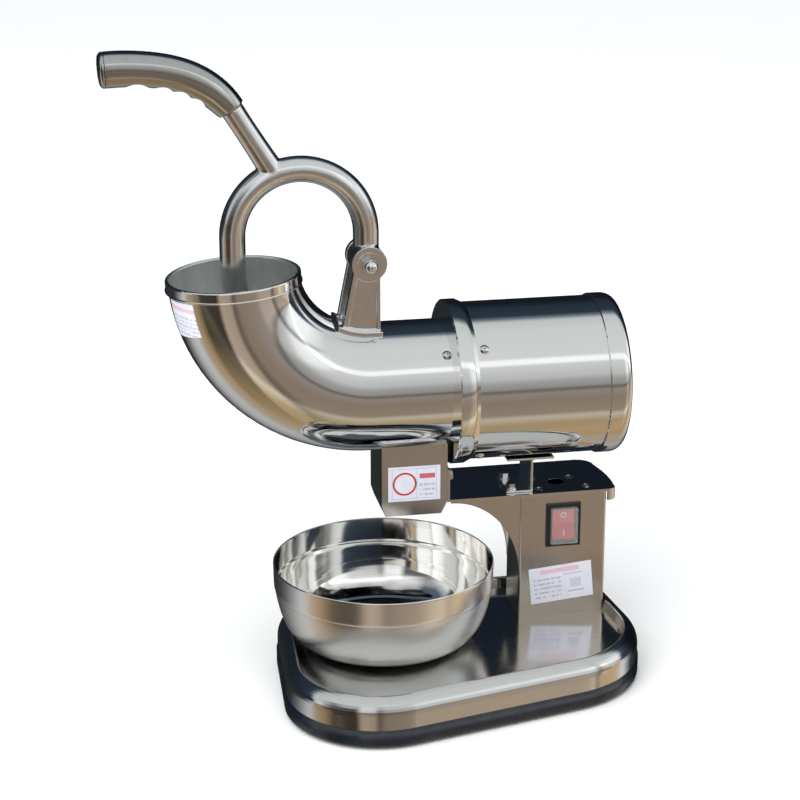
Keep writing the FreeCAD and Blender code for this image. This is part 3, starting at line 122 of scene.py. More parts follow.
ROOM = [  # colour of the room against the angle from the operator's horizon, over the top
    (-180, (0.020, 0.024, 0.030)), (-150, (0.035, 0.037, 0.037)), (-126, (0.40, 0.41, 0.42)),
    (-112, (0.50, 0.50, 0.50)), (-96, (0.42, 0.35, 0.26)), (-75, (0.44, 0.30, 0.165)),
    (-55, (0.42, 0.32, 0.18)), (-44, (0.58, 0.50, 0.40)), (-38, (0.34, 0.27, 0.20)),
    (-18, (0.30, 0.235, 0.18)), (-7, (0.33, 0.285, 0.255)), (-2, (0.15, 0.14, 0.13)),
    (1, (0.34, 0.33, 0.32)), (9, (0.42, 0.42, 0.41)), (17, (0.62, 0.63, 0.63)),
    (34, (0.72, 0.75, 0.76)), (37, (1.15, 1.15, 1.15)), (42, (1.15, 1.15, 1.15)),
    (46, (0.74, 0.77, 0.78)), (88, (0.70, 0.73, 0.73)), (106, (0.62, 0.65, 0.66)),
    (113, (0.16, 0.20, 0.24)), (119, (0.030, 0.045, 0.065)), (155, (0.018, 0.026, 0.042)),
    (180, (0.020, 0.024, 0.030))]
STANDS = [  # how light the room's stands are, against the compass angle from the operator
    (-180, grey(0.30)), (-150, grey(0.50)), (-105, grey(0.62)), (-80, grey(0.42)),
    (-66, grey(0.10)), (-36, grey(0.08)), (-29, grey(0.72)), (-14, grey(0.66)),
    (-8, grey(0.22)), (0, grey(0.44)), (30, grey(0.50)), (38, grey(0.74)), (56, grey(0.78)),
    (61, grey(0.24)), (68, grey(0.70)), (105, grey(0.85)), (122, grey(0.10)), (180, grey(0.30))]


def make_world():
    """A soft studio: pale to the camera, with a warm floor, light walls and a dark ceiling."""
    world = bpy.data.worlds.new("studio")
    scene.world = world
    world.use_nodes = True
    tree = world.node_tree
    tree.nodes.clear()
    maker = Nodes(tree)
    direction = maker.new("ShaderNodeTexCoord").outputs["Generated"]
    split = maker.new("ShaderNodeSeparateXYZ", Vector=direction)
    x, y, z = split.outputs
    front = maker.math("MULTIPLY", y, -1.0)
    over = maker.math("ARCTAN2", z, front)
    around = maker.math("ARCTAN2", x, front)
    room = maker.ramp(maker.map(over, -math.pi, math.pi), ROOM, -180, 180)
    stands = maker.ramp(maker.map(around, -math.pi, math.pi), STANDS, -180, 180)
    doubled = maker.mix("MULTIPLY", 1.0, stands, grey(2.0))
    height = maker.math("MAXIMUM", z, maker.math("MULTIPLY", z, -0.62))
    low = maker.map(height, 0.62, 0.36)
    with_stands = maker.mix("MULTIPLY", low, room, doubled)
    rays = maker.new("ShaderNodeLightPath")
    seen = maker.new("ShaderNodeBackground", Color=with_stands, Strength=1.0)
    pale = maker.new("ShaderNodeBackground", Color=(0.985, 0.985, 0.99, 1.0), Strength=1.0)
    both = maker.new("ShaderNodeMixShader")
    tree.links.new(rays.outputs["Is Camera Ray"], both.inputs[0])
    tree.links.new(seen.outputs[0], both.inputs[1])
    tree.links.new(pale.outputs[0], both.inputs[2])
    out = maker.new("ShaderNodeOutputWorld")
    tree.links.new(both.outputs[0], out.inputs["Surface"])


class Nodes:
    """Short names for making and joining shader nodes."""

    def __init__(self, tree):
        self.tree = tree

    def put(self, socket, value):
        if isinstance(value, bpy.types.NodeSocket):
            self.tree.links.new(value, socket)
        elif socket.type == "RGBA" and len(value) == 3:
            socket.default_value = (*value, 1.0)
        else:
            socket.default_value = value

    def new(self, kind, **inputs):
        node = self.tree.nodes.new(kind)
        for name, value in inputs.items():
            self.put(node.inputs[name.replace("_", " ")], value)
        return node

    def math(self, operation, a, b=0.0):
        node = self.tree.nodes.new("ShaderNodeMath")
        node.operation = operation
        self.put(node.inputs[0], a)
        self.put(node.inputs[1], b)
        return node.outputs[0]

    def map(self, value, low, high, to_low=0.0, to_high=1.0):
        node = self.tree.nodes.new("ShaderNodeMapRange")
        for socket, entry in zip(node.inputs, (value, low, high, to_low, to_high)):
            self.put(socket, entry)
        return node.outputs[0]

    def ramp(self, value, stops, low=0.0, high=1.0):
        node = self.new("ShaderNodeValToRGB", Fac=value)
        ramp_stops(node, stops, low, high)
        return node.outputs["Color"]

    def mix(self, blend, factor, a, b):
        node = self.tree.nodes.new("ShaderNodeMix")
        node.data_type = "RGBA"
        node.blend_type = blend
        self.put(node.inputs[0], factor)
        self.put(node.inputs[6], a)
        self.put(node.inputs[7], b)
        return node.outputs[2]

    def place(self, scale):
        """Object coordinates, stretched by scale on each axis."""
        coords = self.new("ShaderNodeTexCoord").outputs["Object"]
        return self.new("ShaderNodeMapping", Vector=coords, Scale=scale).outputs[0]

    def place_axis(self, axis):
        """One object coordinate, in metres."""
        coords = self.new("ShaderNodeTexCoord").outputs["Object"]
        return self.new("ShaderNodeSeparateXYZ", Vector=coords).outputs[axis]

    def noise(self, scale, detail=3.0, size=1.0):
        node = self.new("ShaderNodeTexNoise", Vector=self.place(scale), Scale=size, Detail=detail)
        return node.outputs["Fac"]

    def bump(self, height, strength, distance, normal=None):
        node = self.new("ShaderNodeBump", Height=height, Strength=strength, Distance=distance)
        if normal is not None:
            self.put(node.inputs["Normal"], normal)
        return node.outputs[0]


# ---- materials ----

def material(name, paint):
    """Material whose Principled node is filled by paint(maker, shader)."""
    made = bpy.data.materials.new(name)
    made.use_nodes = True
    maker = Nodes(made.node_tree)
    shader = made.node_tree.nodes["Principled BSDF"]
    paint(maker, shader)
    return made


def metal(name, colour, rough, streaks, wave=0.0, grain=0.0, spread=0.05, tone_spread=0.08,
          painted_low_reflection=None):
    """Metal with polishing streaks along the axis with the smallest scale, smudges and waves; an
    optional painted reflection darkens and warms it towards the bottom.
    """
    def paint(maker, shader):
        lines = maker.noise(streaks, 4.0)
        smudge = maker.noise((14, 14, 14), 4.0)
        tone = maker.map(lines, 0.3, 0.7, 1.0 - tone_spread, 1.0 + tone_spread * 0.5)
        tint = maker.mix("MULTIPLY", 1.0, colour, maker.ramp(tone, [(0, grey(0)), (1, grey(1))]))
        # Painted reflection: below the given height the colour is multiplied darker and warmer,
        # standing in for what the lower metal mirrors.
        if painted_low_reflection:
            height, depth, shade = painted_low_reflection
            low = maker.map(maker.place_axis("Z"), height + depth, height)
            tint = maker.mix("MULTIPLY", low, tint, shade)
        maker.put(shader.inputs["Base Color"], tint)
        maker.put(shader.inputs["Metallic"], 1.0)
        rough_lines = maker.map(lines, 0.3, 0.7, rough - spread * 0.4, rough + spread * 0.4)
        rough_all = maker.math("ADD", rough_lines, maker.map(smudge, 0.45, 0.75, 0.0, spread))
        maker.put(shader.inputs["Roughness"], rough_all)
        normal = maker.bump(lines, 0.02 + grain, 0.00005)
        if wave:
            slow = maker.noise((9, 9, 9), 1.0)
            normal = maker.bump(slow, wave, 0.004, normal)
        maker.put(shader.inputs["Normal"], normal)
    return material(name, paint)


def spun_metal(name, rough, lines_depth, dull, floor_painted_reflection=1.0):
    """Spun steel with fine turning lines round the middle of the bowl.

    The last argument, below 1, paints a dark navy reflection on the floor behind the bowl's
    middle, as if it mirrored something; it is a painted reflection in the colour, the same from
    every side.
    """
    lo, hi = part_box("ice_bowl")
    centre = (lo + hi) / 2

    def paint(maker, shader):
        coords = maker.new("ShaderNodeTexCoord").outputs["Object"]
        moved = maker.new("ShaderNodeVectorMath", Vector=coords)
        moved.operation = "SUBTRACT"
        moved.inputs[1].default_value = (centre.x, centre.y, lo.z)
        x, y, z = maker.new("ShaderNodeSeparateXYZ", Vector=moved.outputs[0]).outputs
        radius = maker.math("SQRT", maker.math("ADD", maker.math("POWER", x, 2.0),
                                               maker.math("POWER", y, 2.0)))
        turn = maker.new("ShaderNodeCombineXYZ", X=maker.math("MULTIPLY", radius, 900.0),
                         Z=maker.math("MULTIPLY", z, 900.0)).outputs[0]
        turning = maker.new("ShaderNodeTexNoise", Vector=turn, Scale=1.0,
                            Detail=5.0).outputs["Fac"]
        smudge = maker.noise((22, 22, 22), 4.0)
        rough_all = maker.math("ADD", maker.map(turning, 0.3, 0.7, rough, rough + dull),
                               maker.map(smudge, 0.45, 0.8, 0.0, 0.05))
        maker.put(shader.inputs["Roughness"], rough_all)
        maker.put(shader.inputs["Metallic"], 1.0)
        # Painted reflection: a dark patch on the floor, off-centre towards the back, with a wavy
        # edge from the noise; it fades out between 8 and 16 mm up.
        behind = maker.math("SUBTRACT", y, 0.024)
        reach = maker.math("SQRT", maker.math("ADD", maker.math("POWER", x, 2.0),
                                              maker.math("POWER", behind, 2.0)))
        swirl = maker.map(maker.noise((26, 26, 26), 1.0), 0.3, 0.7, -0.012, 0.012)
        across = maker.map(maker.math("ADD", reach, swirl), 0.058, 0.068, floor_painted_reflection, 1.0)
        rise = maker.map(maker.math("ADD", z, maker.math("MULTIPLY", swirl, 0.5)),
                         0.008, 0.016, floor_painted_reflection, 1.0)
        shade = maker.math("MAXIMUM", across, rise)
        # the ramp's black and navy stops are reached only where the painted reflection lowers the
        # tone
        tone = maker.math("MULTIPLY", maker.map(turning, 0.3, 0.7, 0.90, 0.99), shade)
        maker.put(shader.inputs["Base Color"],
                  maker.ramp(tone, [(0, (0, 0, 0)), (0.15, (0.12, 0.145, 0.18)),
                                    (0.6, (0.60, 0.595, 0.585)), (1, (1.0, 0.985, 0.96))]))
        maker.put(shader.inputs["Normal"], maker.bump(turning, lines_depth, 0.00006))
    return material(name, paint)


def moulded(name, colour, rough, grain, coat=0.0, grain_scale=2200.0):
    """Moulded plastic or rubber, with a fine grain and slight dust."""
    def paint(maker, shader):
        fine = maker.noise((grain_scale,) * 3, 2.0)
        dust = maker.noise((60, 60, 60), 5.0)
        pale = tuple(min(1.0, c * 1.25 + 0.012) for c in colour)
        maker.put(shader.inputs["Base Color"],
                  maker.mix("MIX", maker.map(dust, 0.5, 0.8), colour, pale))
        maker.put(shader.inputs["Roughness"], maker.map(dust, 0.3, 0.75, rough, rough + 0.12))
        maker.put(shader.inputs["Coat Weight"], coat)
        maker.put(shader.inputs["Coat Roughness"], 0.08)
        maker.put(shader.inputs["Normal"], maker.bump(fine, grain, 0.00004))
    return material(name, paint)


def film(name, colour, rough=0.35):
    """Printed label film with a faint sheen and slightly uneven ink."""
    def paint(maker, shader):
        fibre = maker.noise((900, 900, 900), 4.0)
        cloud = maker.noise((70, 70, 70), 3.0)
        shade = tuple(c * 0.90 for c in colour)
        maker.put(shader.inputs["Base Color"],
                  maker.mix("MIX", maker.map(cloud, 0.35, 0.7), shade, colour))
        maker.put(shader.inputs["Roughness"], maker.map(fibre, 0.3, 0.7, rough, rough + 0.15))
        maker.put(shader.inputs["Normal"], maker.bump(fibre, 0.08, 0.00003))
    return material(name, paint)


def printed_film(name, place, size, tilt, print_looks):
    """Label film printed with grey rows of dashes and coloured patches.

    place is the middle of the label and size its width and height, tilted about Y.
    print_looks is (rows, row field, [(u0, v0, u1, v1, colour)]) in shares of the label.
    """
    rows, field, patches = print_looks

    def inside(maker, u, v, patch):
        mask = None
        for value, low, high in ((u, patch[0], patch[2]), (v, patch[1], patch[3])):
            for test, edge in (("GREATER_THAN", low), ("LESS_THAN", high)):
                one = maker.math(test, value, edge)
                mask = one if mask is None else maker.math("MULTIPLY", mask, one)
        return mask

    def paint(maker, shader):
        coords = maker.new("ShaderNodeTexCoord").outputs["Object"]
        moved = maker.new("ShaderNodeVectorMath", Vector=coords)
        moved.operation = "SUBTRACT"
        moved.inputs[1].default_value = place
        turned = maker.new("ShaderNodeVectorRotate", Vector=moved.outputs[0], Angle=-tilt)
        turned.rotation_type = "Y_AXIS"
        x, _, z = maker.new("ShaderNodeSeparateXYZ", Vector=turned.outputs[0]).outputs
        u = maker.map(x, -size[0] / 2, size[0] / 2)
        v = maker.map(z, -size[1] / 2, size[1] / 2)
        fibre = maker.noise((900, 900, 900), 4.0)
        cloud = maker.noise((70, 70, 70), 3.0)
        colour = maker.mix("MIX", maker.map(cloud, 0.35, 0.7), (0.76, 0.76, 0.86),
                           (0.84, 0.84, 0.91))
        row = maker.math("MULTIPLY", v, rows)
        stripe = maker.math("LESS_THAN", maker.math("FRACT", row), 0.42)
        word_place = maker.new("ShaderNodeCombineXYZ", X=maker.math("MULTIPLY", u, 26.0),
                               Y=maker.math("MULTIPLY", maker.math("FLOOR", row), 7.3)).outputs[0]
        word = maker.new("ShaderNodeTexNoise", Vector=word_place, Scale=1.0, Detail=1.0)
        dashes = maker.math("GREATER_THAN", word.outputs["Fac"], 0.46)
        ink = maker.math("MULTIPLY", maker.math("MULTIPLY", stripe, dashes),
                         inside(maker, u, v, field))
        colour = maker.mix("MIX", maker.math("MULTIPLY", ink, 0.55), colour, (0.30, 0.32, 0.42))
        for patch in patches:
            mask = maker.math("MULTIPLY", inside(maker, u, v, patch), 0.9)
            colour = maker.mix("MIX", mask, colour, patch[4])
        maker.put(shader.inputs["Base Color"], colour)
        maker.put(shader.inputs["Roughness"], maker.map(fibre, 0.3, 0.7, 0.32, 0.48))
        maker.put(shader.inputs["Normal"], maker.bump(fibre, 0.08, 0.00003))
    return material(name, paint)


def label_looks():
    """Three labels printed with generic rows, patches and a frame, without any wording."""
    red, pink, blue = (0.60, 0.05, 0.10), (0.80, 0.50, 0.58), (0.42, 0.50, 0.78)
    made = {}
    lo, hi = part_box("chute_label")
    frame_lines = [(0.07, 0.06, 0.93, 0.075, blue), (0.07, 0.925, 0.93, 0.94, blue),
                   (0.07, 0.06, 0.08, 0.94, blue), (0.92, 0.06, 0.93, 0.94, blue),
                   (0.545, 0.06, 0.555, 0.94, blue), (0.60, 0.64, 0.90, 0.78, red)]
    made["chute_label"] = printed_film("chute_print", (lo + hi) / 2, (hi.x - lo.x, hi.z - lo.z),
                                       0.0, (7.0, (0.60, 0.14, 0.89, 0.56), frame_lines))
    lo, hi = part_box("rating_label")
    header = [(0.18, 0.80, 0.80, 0.92, pink), (0.55, 0.70, 0.86, 0.735, (0.55, 0.55, 0.64)),
              (0.60, 0.20, 0.86, 0.235, (0.42, 0.42, 0.50)),
              (0.64, 0.32, 0.82, 0.58, (0.62, 0.63, 0.70))]
    made["rating_label"] = printed_film("rating_print", (lo + hi) / 2, (0.0566, 0.0336),
                                        math.radians(LABEL_TILT),
                                        (8.0, (0.06, 0.08, 0.50, 0.72), header))
    lo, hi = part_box("hopper_label")
    made["hopper_label"] = printed_film("mouth_print", (lo + hi) / 2, (hi.x - lo.x, hi.z - lo.z),
                                        0.0, (9.0, (0.1, 0.08, 0.9, 0.62),
                                              [(0.0, 0.74, 1.0, 0.84, pink)]))
    return made


def clear_plastic():
    """Clear flexible cover with a slight haze."""
    def paint(maker, shader):
        haze = maker.noise((260, 260, 260), 4.0)
        maker.put(shader.inputs["Base Color"], (0.88, 0.90, 0.89, 1.0))
        maker.put(shader.inputs["Roughness"], maker.map(haze, 0.3, 0.8, 0.02, 0.10))
        maker.put(shader.inputs["Transmission Weight"], 0.86)
        maker.put(shader.inputs["IOR"], 1.25)
        maker.put(shader.inputs["Normal"], maker.bump(haze, 0.05, 0.0002))
    return material("clear_cover", paint)


def stacked_steel():
    """Edges of varnished laminations, stacked along X."""
    def paint(maker, shader):
        sheets = maker.noise((2400, 4, 4), 1.0)
        tone = maker.map(sheets, 0.35, 0.65)
        maker.put(shader.inputs["Base Color"],
                  maker.ramp(tone, [(0, (0.10, 0.10, 0.11)), (1, (0.34, 0.33, 0.33))]))
        maker.put(shader.inputs["Metallic"], 0.8)
        maker.put(shader.inputs["Roughness"], 0.45)
        maker.put(shader.inputs["Normal"], maker.bump(sheets, 0.4, 0.0001))
    return material("laminations", paint)


def wound_copper():
    """Enamelled wire, wound round the stator."""
    def paint(maker, shader):
        wires = maker.noise((1500, 60, 60), 3.0)
        tone = maker.map(wires, 0.35, 0.65)
        maker.put(shader.inputs["Base Color"],
                  maker.ramp(tone, [(0, (0.16, 0.05, 0.02)), (1, (0.72, 0.30, 0.13))]))
        maker.put(shader.inputs["Metallic"], 0.7)
        maker.put(shader.inputs["Roughness"], 0.32)
        maker.put(shader.inputs["Normal"], maker.bump(wires, 0.5, 0.0003))
    return material("windings", paint)


def make_materials():
    steel = (0.82, 0.82, 0.81)
    return {
        "tube": metal("tube_polish", steel, 0.050, (18, 260, 260), wave=0.045, spread=0.02,
                      tone_spread=0.02),
        "drum": metal("drum_polish", steel, 0.045, (16, 420, 420), wave=0.03, spread=0.02,
                      tone_spread=0.02),
        "deck": metal("deck_polish", (0.70, 0.70, 0.69), 0.10, (26, 210, 210), wave=0.05,
                      spread=0.06, tone_spread=0.04),
        "plate": metal("plate_polish", steel, 0.040, (30, 300, 300), wave=0.02, spread=0.03,
                       tone_spread=0.03),
        "upright": metal("column_polish", (0.81, 0.765, 0.71), 0.22, (60, 60, 26),
                         wave=0.02, spread=0.04, tone_spread=0.03,
                         # painted reflection: the column's colour darker and warmer towards the
                         # bottom
                         painted_low_reflection=(0.045, 0.05, (0.72, 0.66, 0.60))),
        "chute": metal("chute_polish", (0.74, 0.72, 0.69), 0.24, (60, 60, 26), wave=0.02,
                       spread=0.04, tone_spread=0.03),
        "inner": metal("tube_inside", (0.93, 0.95, 0.93), 0.36, (200, 200, 10), spread=0.10,
                       tone_spread=0.10),
        # inside: polished, with the painted dark reflection on its floor
        "bowl_bright": spun_metal("spun_bright", 0.045, 0.06, 0.03, floor_painted_reflection=0.16),
        "bowl_band": spun_metal("spun_band", 0.20, 0.15, 0.06),
        "bowl_satin": spun_metal("spun_satin", 0.25, 0.30, 0.10),
        "screw": metal("screw_steel", (0.84, 0.84, 0.83), 0.13, (900, 900, 900), grain=0.1),
        "zinc": metal("zinc_steel", (0.70, 0.70, 0.71), 0.28, (500, 500, 500), grain=0.3),
        "cast": metal("cast_polish", (0.78, 0.78, 0.785), 0.19, (150, 150, 150), grain=0.10,
                      spread=0.08, tone_spread=0.04),
        "cast_bright": metal("cast_bright", (0.86, 0.86, 0.85), 0.17, (150, 150, 150),
                             grain=0.08, spread=0.06, tone_spread=0.04),
        "grip": metal("grip_polish", (0.50, 0.495, 0.485), 0.09, (150, 150, 150), grain=0.06,
                      spread=0.05, tone_spread=0.05),
        "casting": metal("plain_casting", (0.56, 0.56, 0.55), 0.42, (420, 420, 420), grain=0.9,
                         spread=0.1),
        "blade": metal("ground_blade", (0.80, 0.80, 0.80), 0.16, (60, 900, 900), grain=0.3),
        "pan": moulded("pan_enamel", (0.008, 0.011, 0.018), 0.20, 0.15, coat=0.25,
                       grain_scale=700.0),
        "rubber": moulded("foot_rubber", (0.022, 0.022, 0.023), 0.68, 0.5),
        "black": moulded("switch_black", (0.012, 0.012, 0.013), 0.36, 0.30),
        "fan": moulded("fan_black", (0.020, 0.020, 0.021), 0.42, 0.30),
        "red": moulded("rocker_red", (0.72, 0.018, 0.022), 0.16, 0.10, coat=0.5),
        "white": moulded("capacitor_white", (0.78, 0.78, 0.75), 0.35, 0.20),
        "mark": moulded("mark_white", (0.86, 0.86, 0.86), 0.35, 0.10),
        "film": film("label_white", (0.83, 0.82, 0.90)),
        "ink_red": film("ink_red", (0.62, 0.030, 0.035)),
        "clear": clear_plastic(),
        "laminations": stacked_steel(),
        "windings": wound_copper(),
    }


NODE_LOOKS = {
    "base_pan": "pan", "base_cover": "deck", "rubber_feet": "rubber", "foot_screws": "zinc",
    "base_spacers": "zinc", "clinch_nuts": "zinc", "cable_gland": "black",
    "column_box": "upright", "column_screws": "screw", "column_gussets": "upright",
    "platform": "plate", "platform_bolts": "screw", "motor_bracket": "cast",
    "bracket_bolts": "screw", "switch_housing": "black", "switch_rocker": "red",
    "switch_cover": "clear", "rating_label": "film", "chute_label": "film",
    "run_capacitor": "white", "capacitor_clip": "zinc", "hopper_tube": "tube",
    "hopper_label": "film", "ice_chute": "chute", "collar_flange": "drum",
    "collar_screws": "screw", "motor_housing": "drum", "end_cap": "drum",
    "cap_screws": "screw", "motor_stator": "laminations", "stator_windings": "windings",
    "motor_rotor": "laminations", "motor_shaft": "blade", "front_bearing": "blade",
    "rear_bearing": "blade", "front_plate": "casting", "shaft_seal": "rubber",
    "rear_plate": "casting", "cooling_fan": "fan", "cutter_disc": "casting",
    "cutter_blades": "blade", "blade_screws": "screw", "cutter_nut": "screw",
    "pivot_bracket": "cast", "saddle_screws": "screw", "pivot_bolt": "screw",
    "pivot_washers": "screw", "pivot_nut": "screw", "feed_lever": "cast",
    "lever_grip": "grip", "grip_end_cap": "grip", "pusher_plate": "casting",
    "pusher_screw": "screw", "ice_bowl": "bowl_satin"}


def dress_nodes(looks):
    for name, obj in NODES.items():
        obj.data.materials.clear()
        obj.data.materials.append(looks.get(name) or looks[NODE_LOOKS[name]])


# ---- pieces shaped here ----

def add_piece(name, mesh, materials, body, stands_for=()):
    """Object of its own, moving with a body and shown in place of CAD nodes."""
    while mesh.materials:
        mesh.materials.pop()
    for entry in materials:
        mesh.materials.append(entry)
    obj = bpy.data.objects.new(name, mesh)
    scene.collection.objects.link(obj)
    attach(obj, body)
    if stands_for:
        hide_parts(*stands_for)
    return obj


def finish_mesh(work, name, smooth=True):
    mesh = bpy.data.meshes.new(name)
    work.to_mesh(mesh)
    work.free()
    if "custom_normal" in mesh.attributes:
        mesh.attributes.remove(mesh.attributes["custom_normal"])
    for face in mesh.polygons:
        face.use_smooth = smooth
    return mesh


def welded(name):
    """Copy of a CAD node with its seams closed and its flat faces whole again."""
    work = bmesh.new()
    work.from_mesh(NODES[name].data)
    bmesh.ops.remove_doubles(work, verts=work.verts, dist=WELD)
    bmesh.ops.dissolve_limit(work, angle_limit=math.radians(0.5), use_dissolve_boundaries=False,
                             verts=work.verts, edges=work.edges)
    return work


def soften(name, width, look, steps=2):
    """Sheet or machined piece with its sharp edges broken, so that they catch the light."""
    mesh = finish_mesh(welded(name), name + "_edged")
    obj = add_piece(name + "_edged", mesh, [look], "root", [name])
    edges = obj.modifiers.new("edges", "BEVEL")
    edges.width = width
    edges.segments = steps
    edges.limit_method = "ANGLE"
    edges.angle_limit = math.radians(SHARP_ANGLE)
    edges.harden_normals = True
    edges.use_clamp_overlap = True


def cast_copy(name, grain, rounds, look, body="root"):
    """Cast piece whose corners and joints are rounded over, as sand casting leaves them."""
    work = bmesh.new()
    work.from_mesh(NODES[name].data)
    bmesh.ops.remove_doubles(work, verts=work.verts, dist=WELD)
    mesh = finish_mesh(work, name + "_cast")
    obj = add_piece(name + "_cast", mesh, [look], body, [name])
    fine = obj.modifiers.new("fine", "REMESH")
    fine.mode = "VOXEL"
    fine.voxel_size = grain
    fine.use_smooth_shade = True
    rounded = obj.modifiers.new("rounded", "SMOOTH")
    rounded.factor = 0.5
    rounded.iterations = rounds
    lighter = obj.modifiers.new("lighter", "DECIMATE")
    lighter.ratio = KEPT_FACES


def lathe(profile, centre, count):
    """Closed ring mesh from (radius, height, look) points, turned about a vertical axis."""
    work = bmesh.new()
    rings = []
    for radius, height, _ in profile:
        if radius < 1e-6:
            rings.append([work.verts.new(centre + Vector((0, 0, height)))])
            continue
        ring = []
        for i in range(count):
            a = 2 * math.pi * i / count
            ring.append(work.verts.new(centre + Vector((radius * math.cos(a),
                                                        radius * math.sin(a), height))))
        rings.append(ring)
    for k in range(len(rings) - 1):
        a, b = rings[k], rings[k + 1]
        for i in range(count):
            j = (i + 1) % count
            corners = [a[i % len(a)], a[j % len(a)], b[j % len(b)], b[i % len(b)]]
            whole = []
            for vert in corners:
                if vert not in whole:
                    whole.append(vert)
            face = work.faces.new(whole)
            face.material_index = profile[k][2]
    bmesh.ops.recalc_face_normals(work, faces=work.faces)
    return work


def smooth_curve(points, steps):
    """Points along a Catmull-Rom curve through the given 2-D points."""
    out = []
    ends = [points[0]] + list(points) + [points[-1]]
    for k in range(1, len(ends) - 2):
        p0, p1, p2, p3 = (Vector(p) for p in ends[k - 1:k + 3])
        for i in range(steps):
            t = i / steps
            square = (2 * p0 - 5 * p1 + 4 * p2 - p3) * t ** 2
            cube = (3 * p1 - p0 - 3 * p2 + p3) * t ** 3
            out.append(tuple(0.5 * (2 * p1 + (p2 - p0) * t + square + cube)))
    out.append(tuple(points[-1]))
    return out


# outer wall of the bowl below its step, as (radius, height) in mm
BOWL_WALL = [(0.0, 0.0), (15.0, 0.0), (30.0, 0.0), (42.0, 0.3), (53.0, 1.0), (63.0, 2.3),
             (70.5, 4.6), (76.4, 8.4), (82.0, 14.8), (86.4, 22.5), (90.0, 33.0), (92.6, 45.0),
             (93.3, 50.6)]


def make_bowl():
    """Spun bowl: satin outside below the step, brighter band above it, mirror inside."""
    lo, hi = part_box("ice_bowl")
    centre = Vector(((lo.x + hi.x) / 2, (lo.y + hi.y) / 2, lo.z))
    height = (hi.z - lo.z) / MM
    thick = 1.2
    curve = smooth_curve(BOWL_WALL, 8)
    profile = [(r, z, 2) for r, z in curve]
    profile += [(93.35, 51.1, 1), (93.95, 51.7, 1), (94.1, 52.3, 1)]
    for i in range(1, 9):
        z = 52.3 + (height - 1.0 - 52.3) * i / 8
        profile.append((94.1 + 0.5 * i / 8, z, 1))
    for i in range(1, 8):
        a = math.pi * i / 8
        profile.append((94.0 + 0.6 * math.cos(a), height - 0.9 + 0.9 * math.sin(a), 0))
    profile += [(93.4, height - 1.2, 0), (92.95, 53.0, 0), (92.7, 52.1, 0)]
    for i, (r, z) in enumerate(reversed(curve)):
        ripple = 0.02 * math.sin(i * 1.9)
        lift = thick * (1 - min(1.0, max(0.0, (z - 2.0) / 45.0)))
        inward = thick * min(1.0, max(0.0, (r - 60.0) / 28.0))
        profile.append((max(0.0, r - inward), z + lift + ripple, 0))
    scaled = [(r * MM, z * MM, look) for r, z, look in profile]
    mesh = finish_mesh(lathe(scaled, centre, 240), "bowl_spun")
    add_piece("bowl_spun", mesh, [looks["bowl_bright"], looks["bowl_band"], looks["bowl_satin"]],
              "bowl", ["ice_bowl"])


def make_tube():
    """Feed tube with its polished outside and the dull grey inside of the drawn tube."""
    mesh = NODES["hopper_tube"].data.copy()
    bend = PIVOT.z - AXIS.z
    centre = Vector((PIVOT.x, AXIS.y, PIVOT.z))
    add_piece("tube_polished", mesh, [looks["tube"], looks["inner"]], "root",
              ["hopper_tube"])
    for face in mesh.polygons:
        middle = face.center
        if middle.x > PIVOT.x:
            axis_point = Vector((middle.x, AXIS.y, AXIS.z))
        else:
            out = Vector((middle.x - centre.x, 0, min(middle.z, PIVOT.z) - centre.z))
            axis_point = centre + out.normalized() * bend
            axis_point.z += max(0.0, middle.z - PIVOT.z)
        away = middle - axis_point
        inside = face.normal.dot(away) < 0 and away.length < TUBE_WALL_INSIDE
        face.material_index = 1 if inside else 0


def make_pan():
    """Pressed pan with its lower edge rounded."""
    work = welded("base_pan")
    low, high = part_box("base_pan")
    edges = []
    for edge in work.edges:
        if len(edge.link_faces) != 2 or max(abs(v.co.z - low.z) for v in edge.verts) > 1e-5:
            continue
        tall = [f for f in edge.link_faces if max(v.co.z for v in f.verts) > high.z - 0.001]
        if tall:
            edges.append(edge)
    bmesh.ops.bevel(work, geom=edges, offset=0.0024, segments=5, profile=0.5, affect="EDGES",
                    clamp_overlap=True)
    add_piece("pan_pressed", finish_mesh(work, "pan_pressed"), [looks["pan"]], "root",
              ["base_pan"])


def box_into(work, low, high):
    """Closed box between two corners."""
    made = bmesh.ops.create_cube(work, size=1.0)["verts"]
    for vert in made:
        for axis in range(3):
            vert.co[axis] = (high if vert.co[axis] > 0 else low)[axis]


def ring_into(work, centre, outer, inner, depth, count=48):
    """Flat ring facing the operator, depth thick along Y."""
    loops = []
    for radius, back in ((outer, 0.0), (inner, 0.0), (inner, depth), (outer, depth)):
        loop = []
        for i in range(count):
            a = 2 * math.pi * i / count
            loop.append(work.verts.new(centre + Vector((radius * math.cos(a), back,
                                                        radius * math.sin(a)))))
        loops.append(loop)
    for k in range(4):
        a, b = loops[k], loops[(k + 1) % 4]
        for i in range(count):
            j = (i + 1) % count
            work.faces.new((a[i], a[j], b[j], b[i]))


def make_switch_marks():
    """Plain ring and bar let into the rocker, tipped with it."""
    work = bmesh.new()
    face = -0.00740
    ring_into(work, Vector((0, face - 0.00012, 0.008)), 0.00255, 0.00185, 0.0008)
    box_into(work, (-0.00045, face - 0.0003, -0.0105), (0.00045, face + 0.0007, -0.0055))
    tip = Matrix.Rotation(math.radians(-8.0), 4, "X")
    bmesh.ops.transform(work, matrix=Matrix.Translation(ROCKER_PIVOT) @ tip, verts=work.verts)
    bmesh.ops.recalc_face_normals(work, faces=work.faces)
    add_piece("rocker_marks", finish_mesh(work, "rocker_marks", False), [looks["mark"]],
              "rocker")


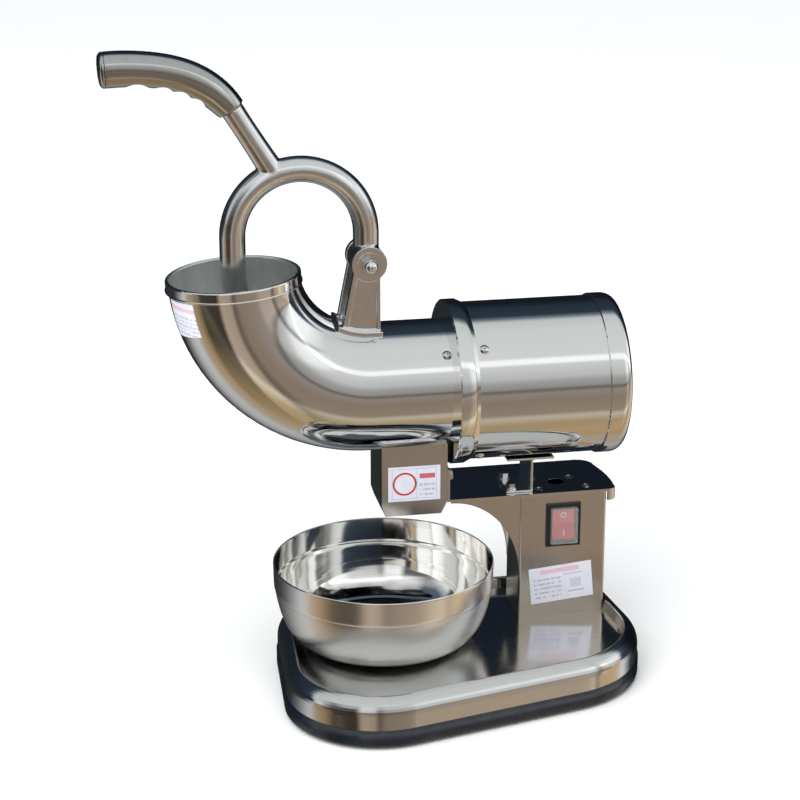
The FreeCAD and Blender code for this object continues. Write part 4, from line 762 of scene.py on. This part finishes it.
def make_label_ring():
    """Plain red ring printed thick on the chute's label."""
    lo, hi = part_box("chute_label")
    width, height = hi.x - lo.x, hi.z - lo.z
    work = bmesh.new()
    ring_into(work, Vector((lo.x + width * 0.315, lo.y - 0.00004, lo.z + height * 0.5)),
              height * 0.335, height * 0.28, 0.00006, 64)
    bmesh.ops.recalc_face_normals(work, faces=work.faces)
    add_piece("label_ring", finish_mesh(work, "label_ring", False), [looks["ink_red"]], "root")


def make_pieces():
    make_bowl()
    make_tube()
    make_pan()
    make_switch_marks()
    make_label_ring()
    cast_copy("feed_lever", 0.0007, 10, looks["cast"], "lever")
    cast_copy("lever_grip", 0.0008, 8, looks["grip"], "lever")
    cast_copy("pivot_bracket", 0.00045, 3, looks["cast_bright"])
    cast_copy("motor_bracket", 0.0006, 3, looks["cast_bright"])
    soften("column_box", 0.0007, looks["upright"], steps=3)
    soften("column_gussets", 0.0006, looks["upright"])
    soften("platform", 0.0006, looks["plate"])
    soften("ice_chute", 0.0009, looks["chute"], steps=3)
    soften("collar_flange", 0.0006, looks["drum"], steps=3)
    soften("end_cap", 0.0008, looks["drum"], steps=3)
    soften("switch_housing", 0.0004, looks["black"])


def make_floor():
    """Plain pale floor that mirrors don't show, so that they keep the room's soft colours."""
    bpy.ops.mesh.primitive_plane_add(size=30.0, location=(0, 0, 0))
    floor = bpy.context.object
    floor.name = "floor"

    def paint(maker, shader):
        cloud = maker.noise((3, 3, 3), 3.0)
        maker.put(shader.inputs["Base Color"],
                  maker.ramp(cloud, [(0.3, grey(0.96)), (0.7, grey(0.98))]))
        maker.put(shader.inputs["Roughness"], 0.75)
    floor.data.materials.append(material("floor_pale", paint))
    floor.visible_glossy = False


make_camera()
make_world()
looks = make_materials()
looks.update(label_looks())
dress_nodes(looks)
make_pieces()
make_floor()
sun_light("key", (-0.35, -0.25, 1.0), 1.9)
area_light("fill", (-1.3, -1.6, 1.5), (0, 0, 0.2), (1.2, 1.2), 16)
area_light("back", (0.4, 1.8, 2.0), (0, 0, 0.2), (1.6, 0.8), 10)
scene.view_settings.view_transform = "Standard"
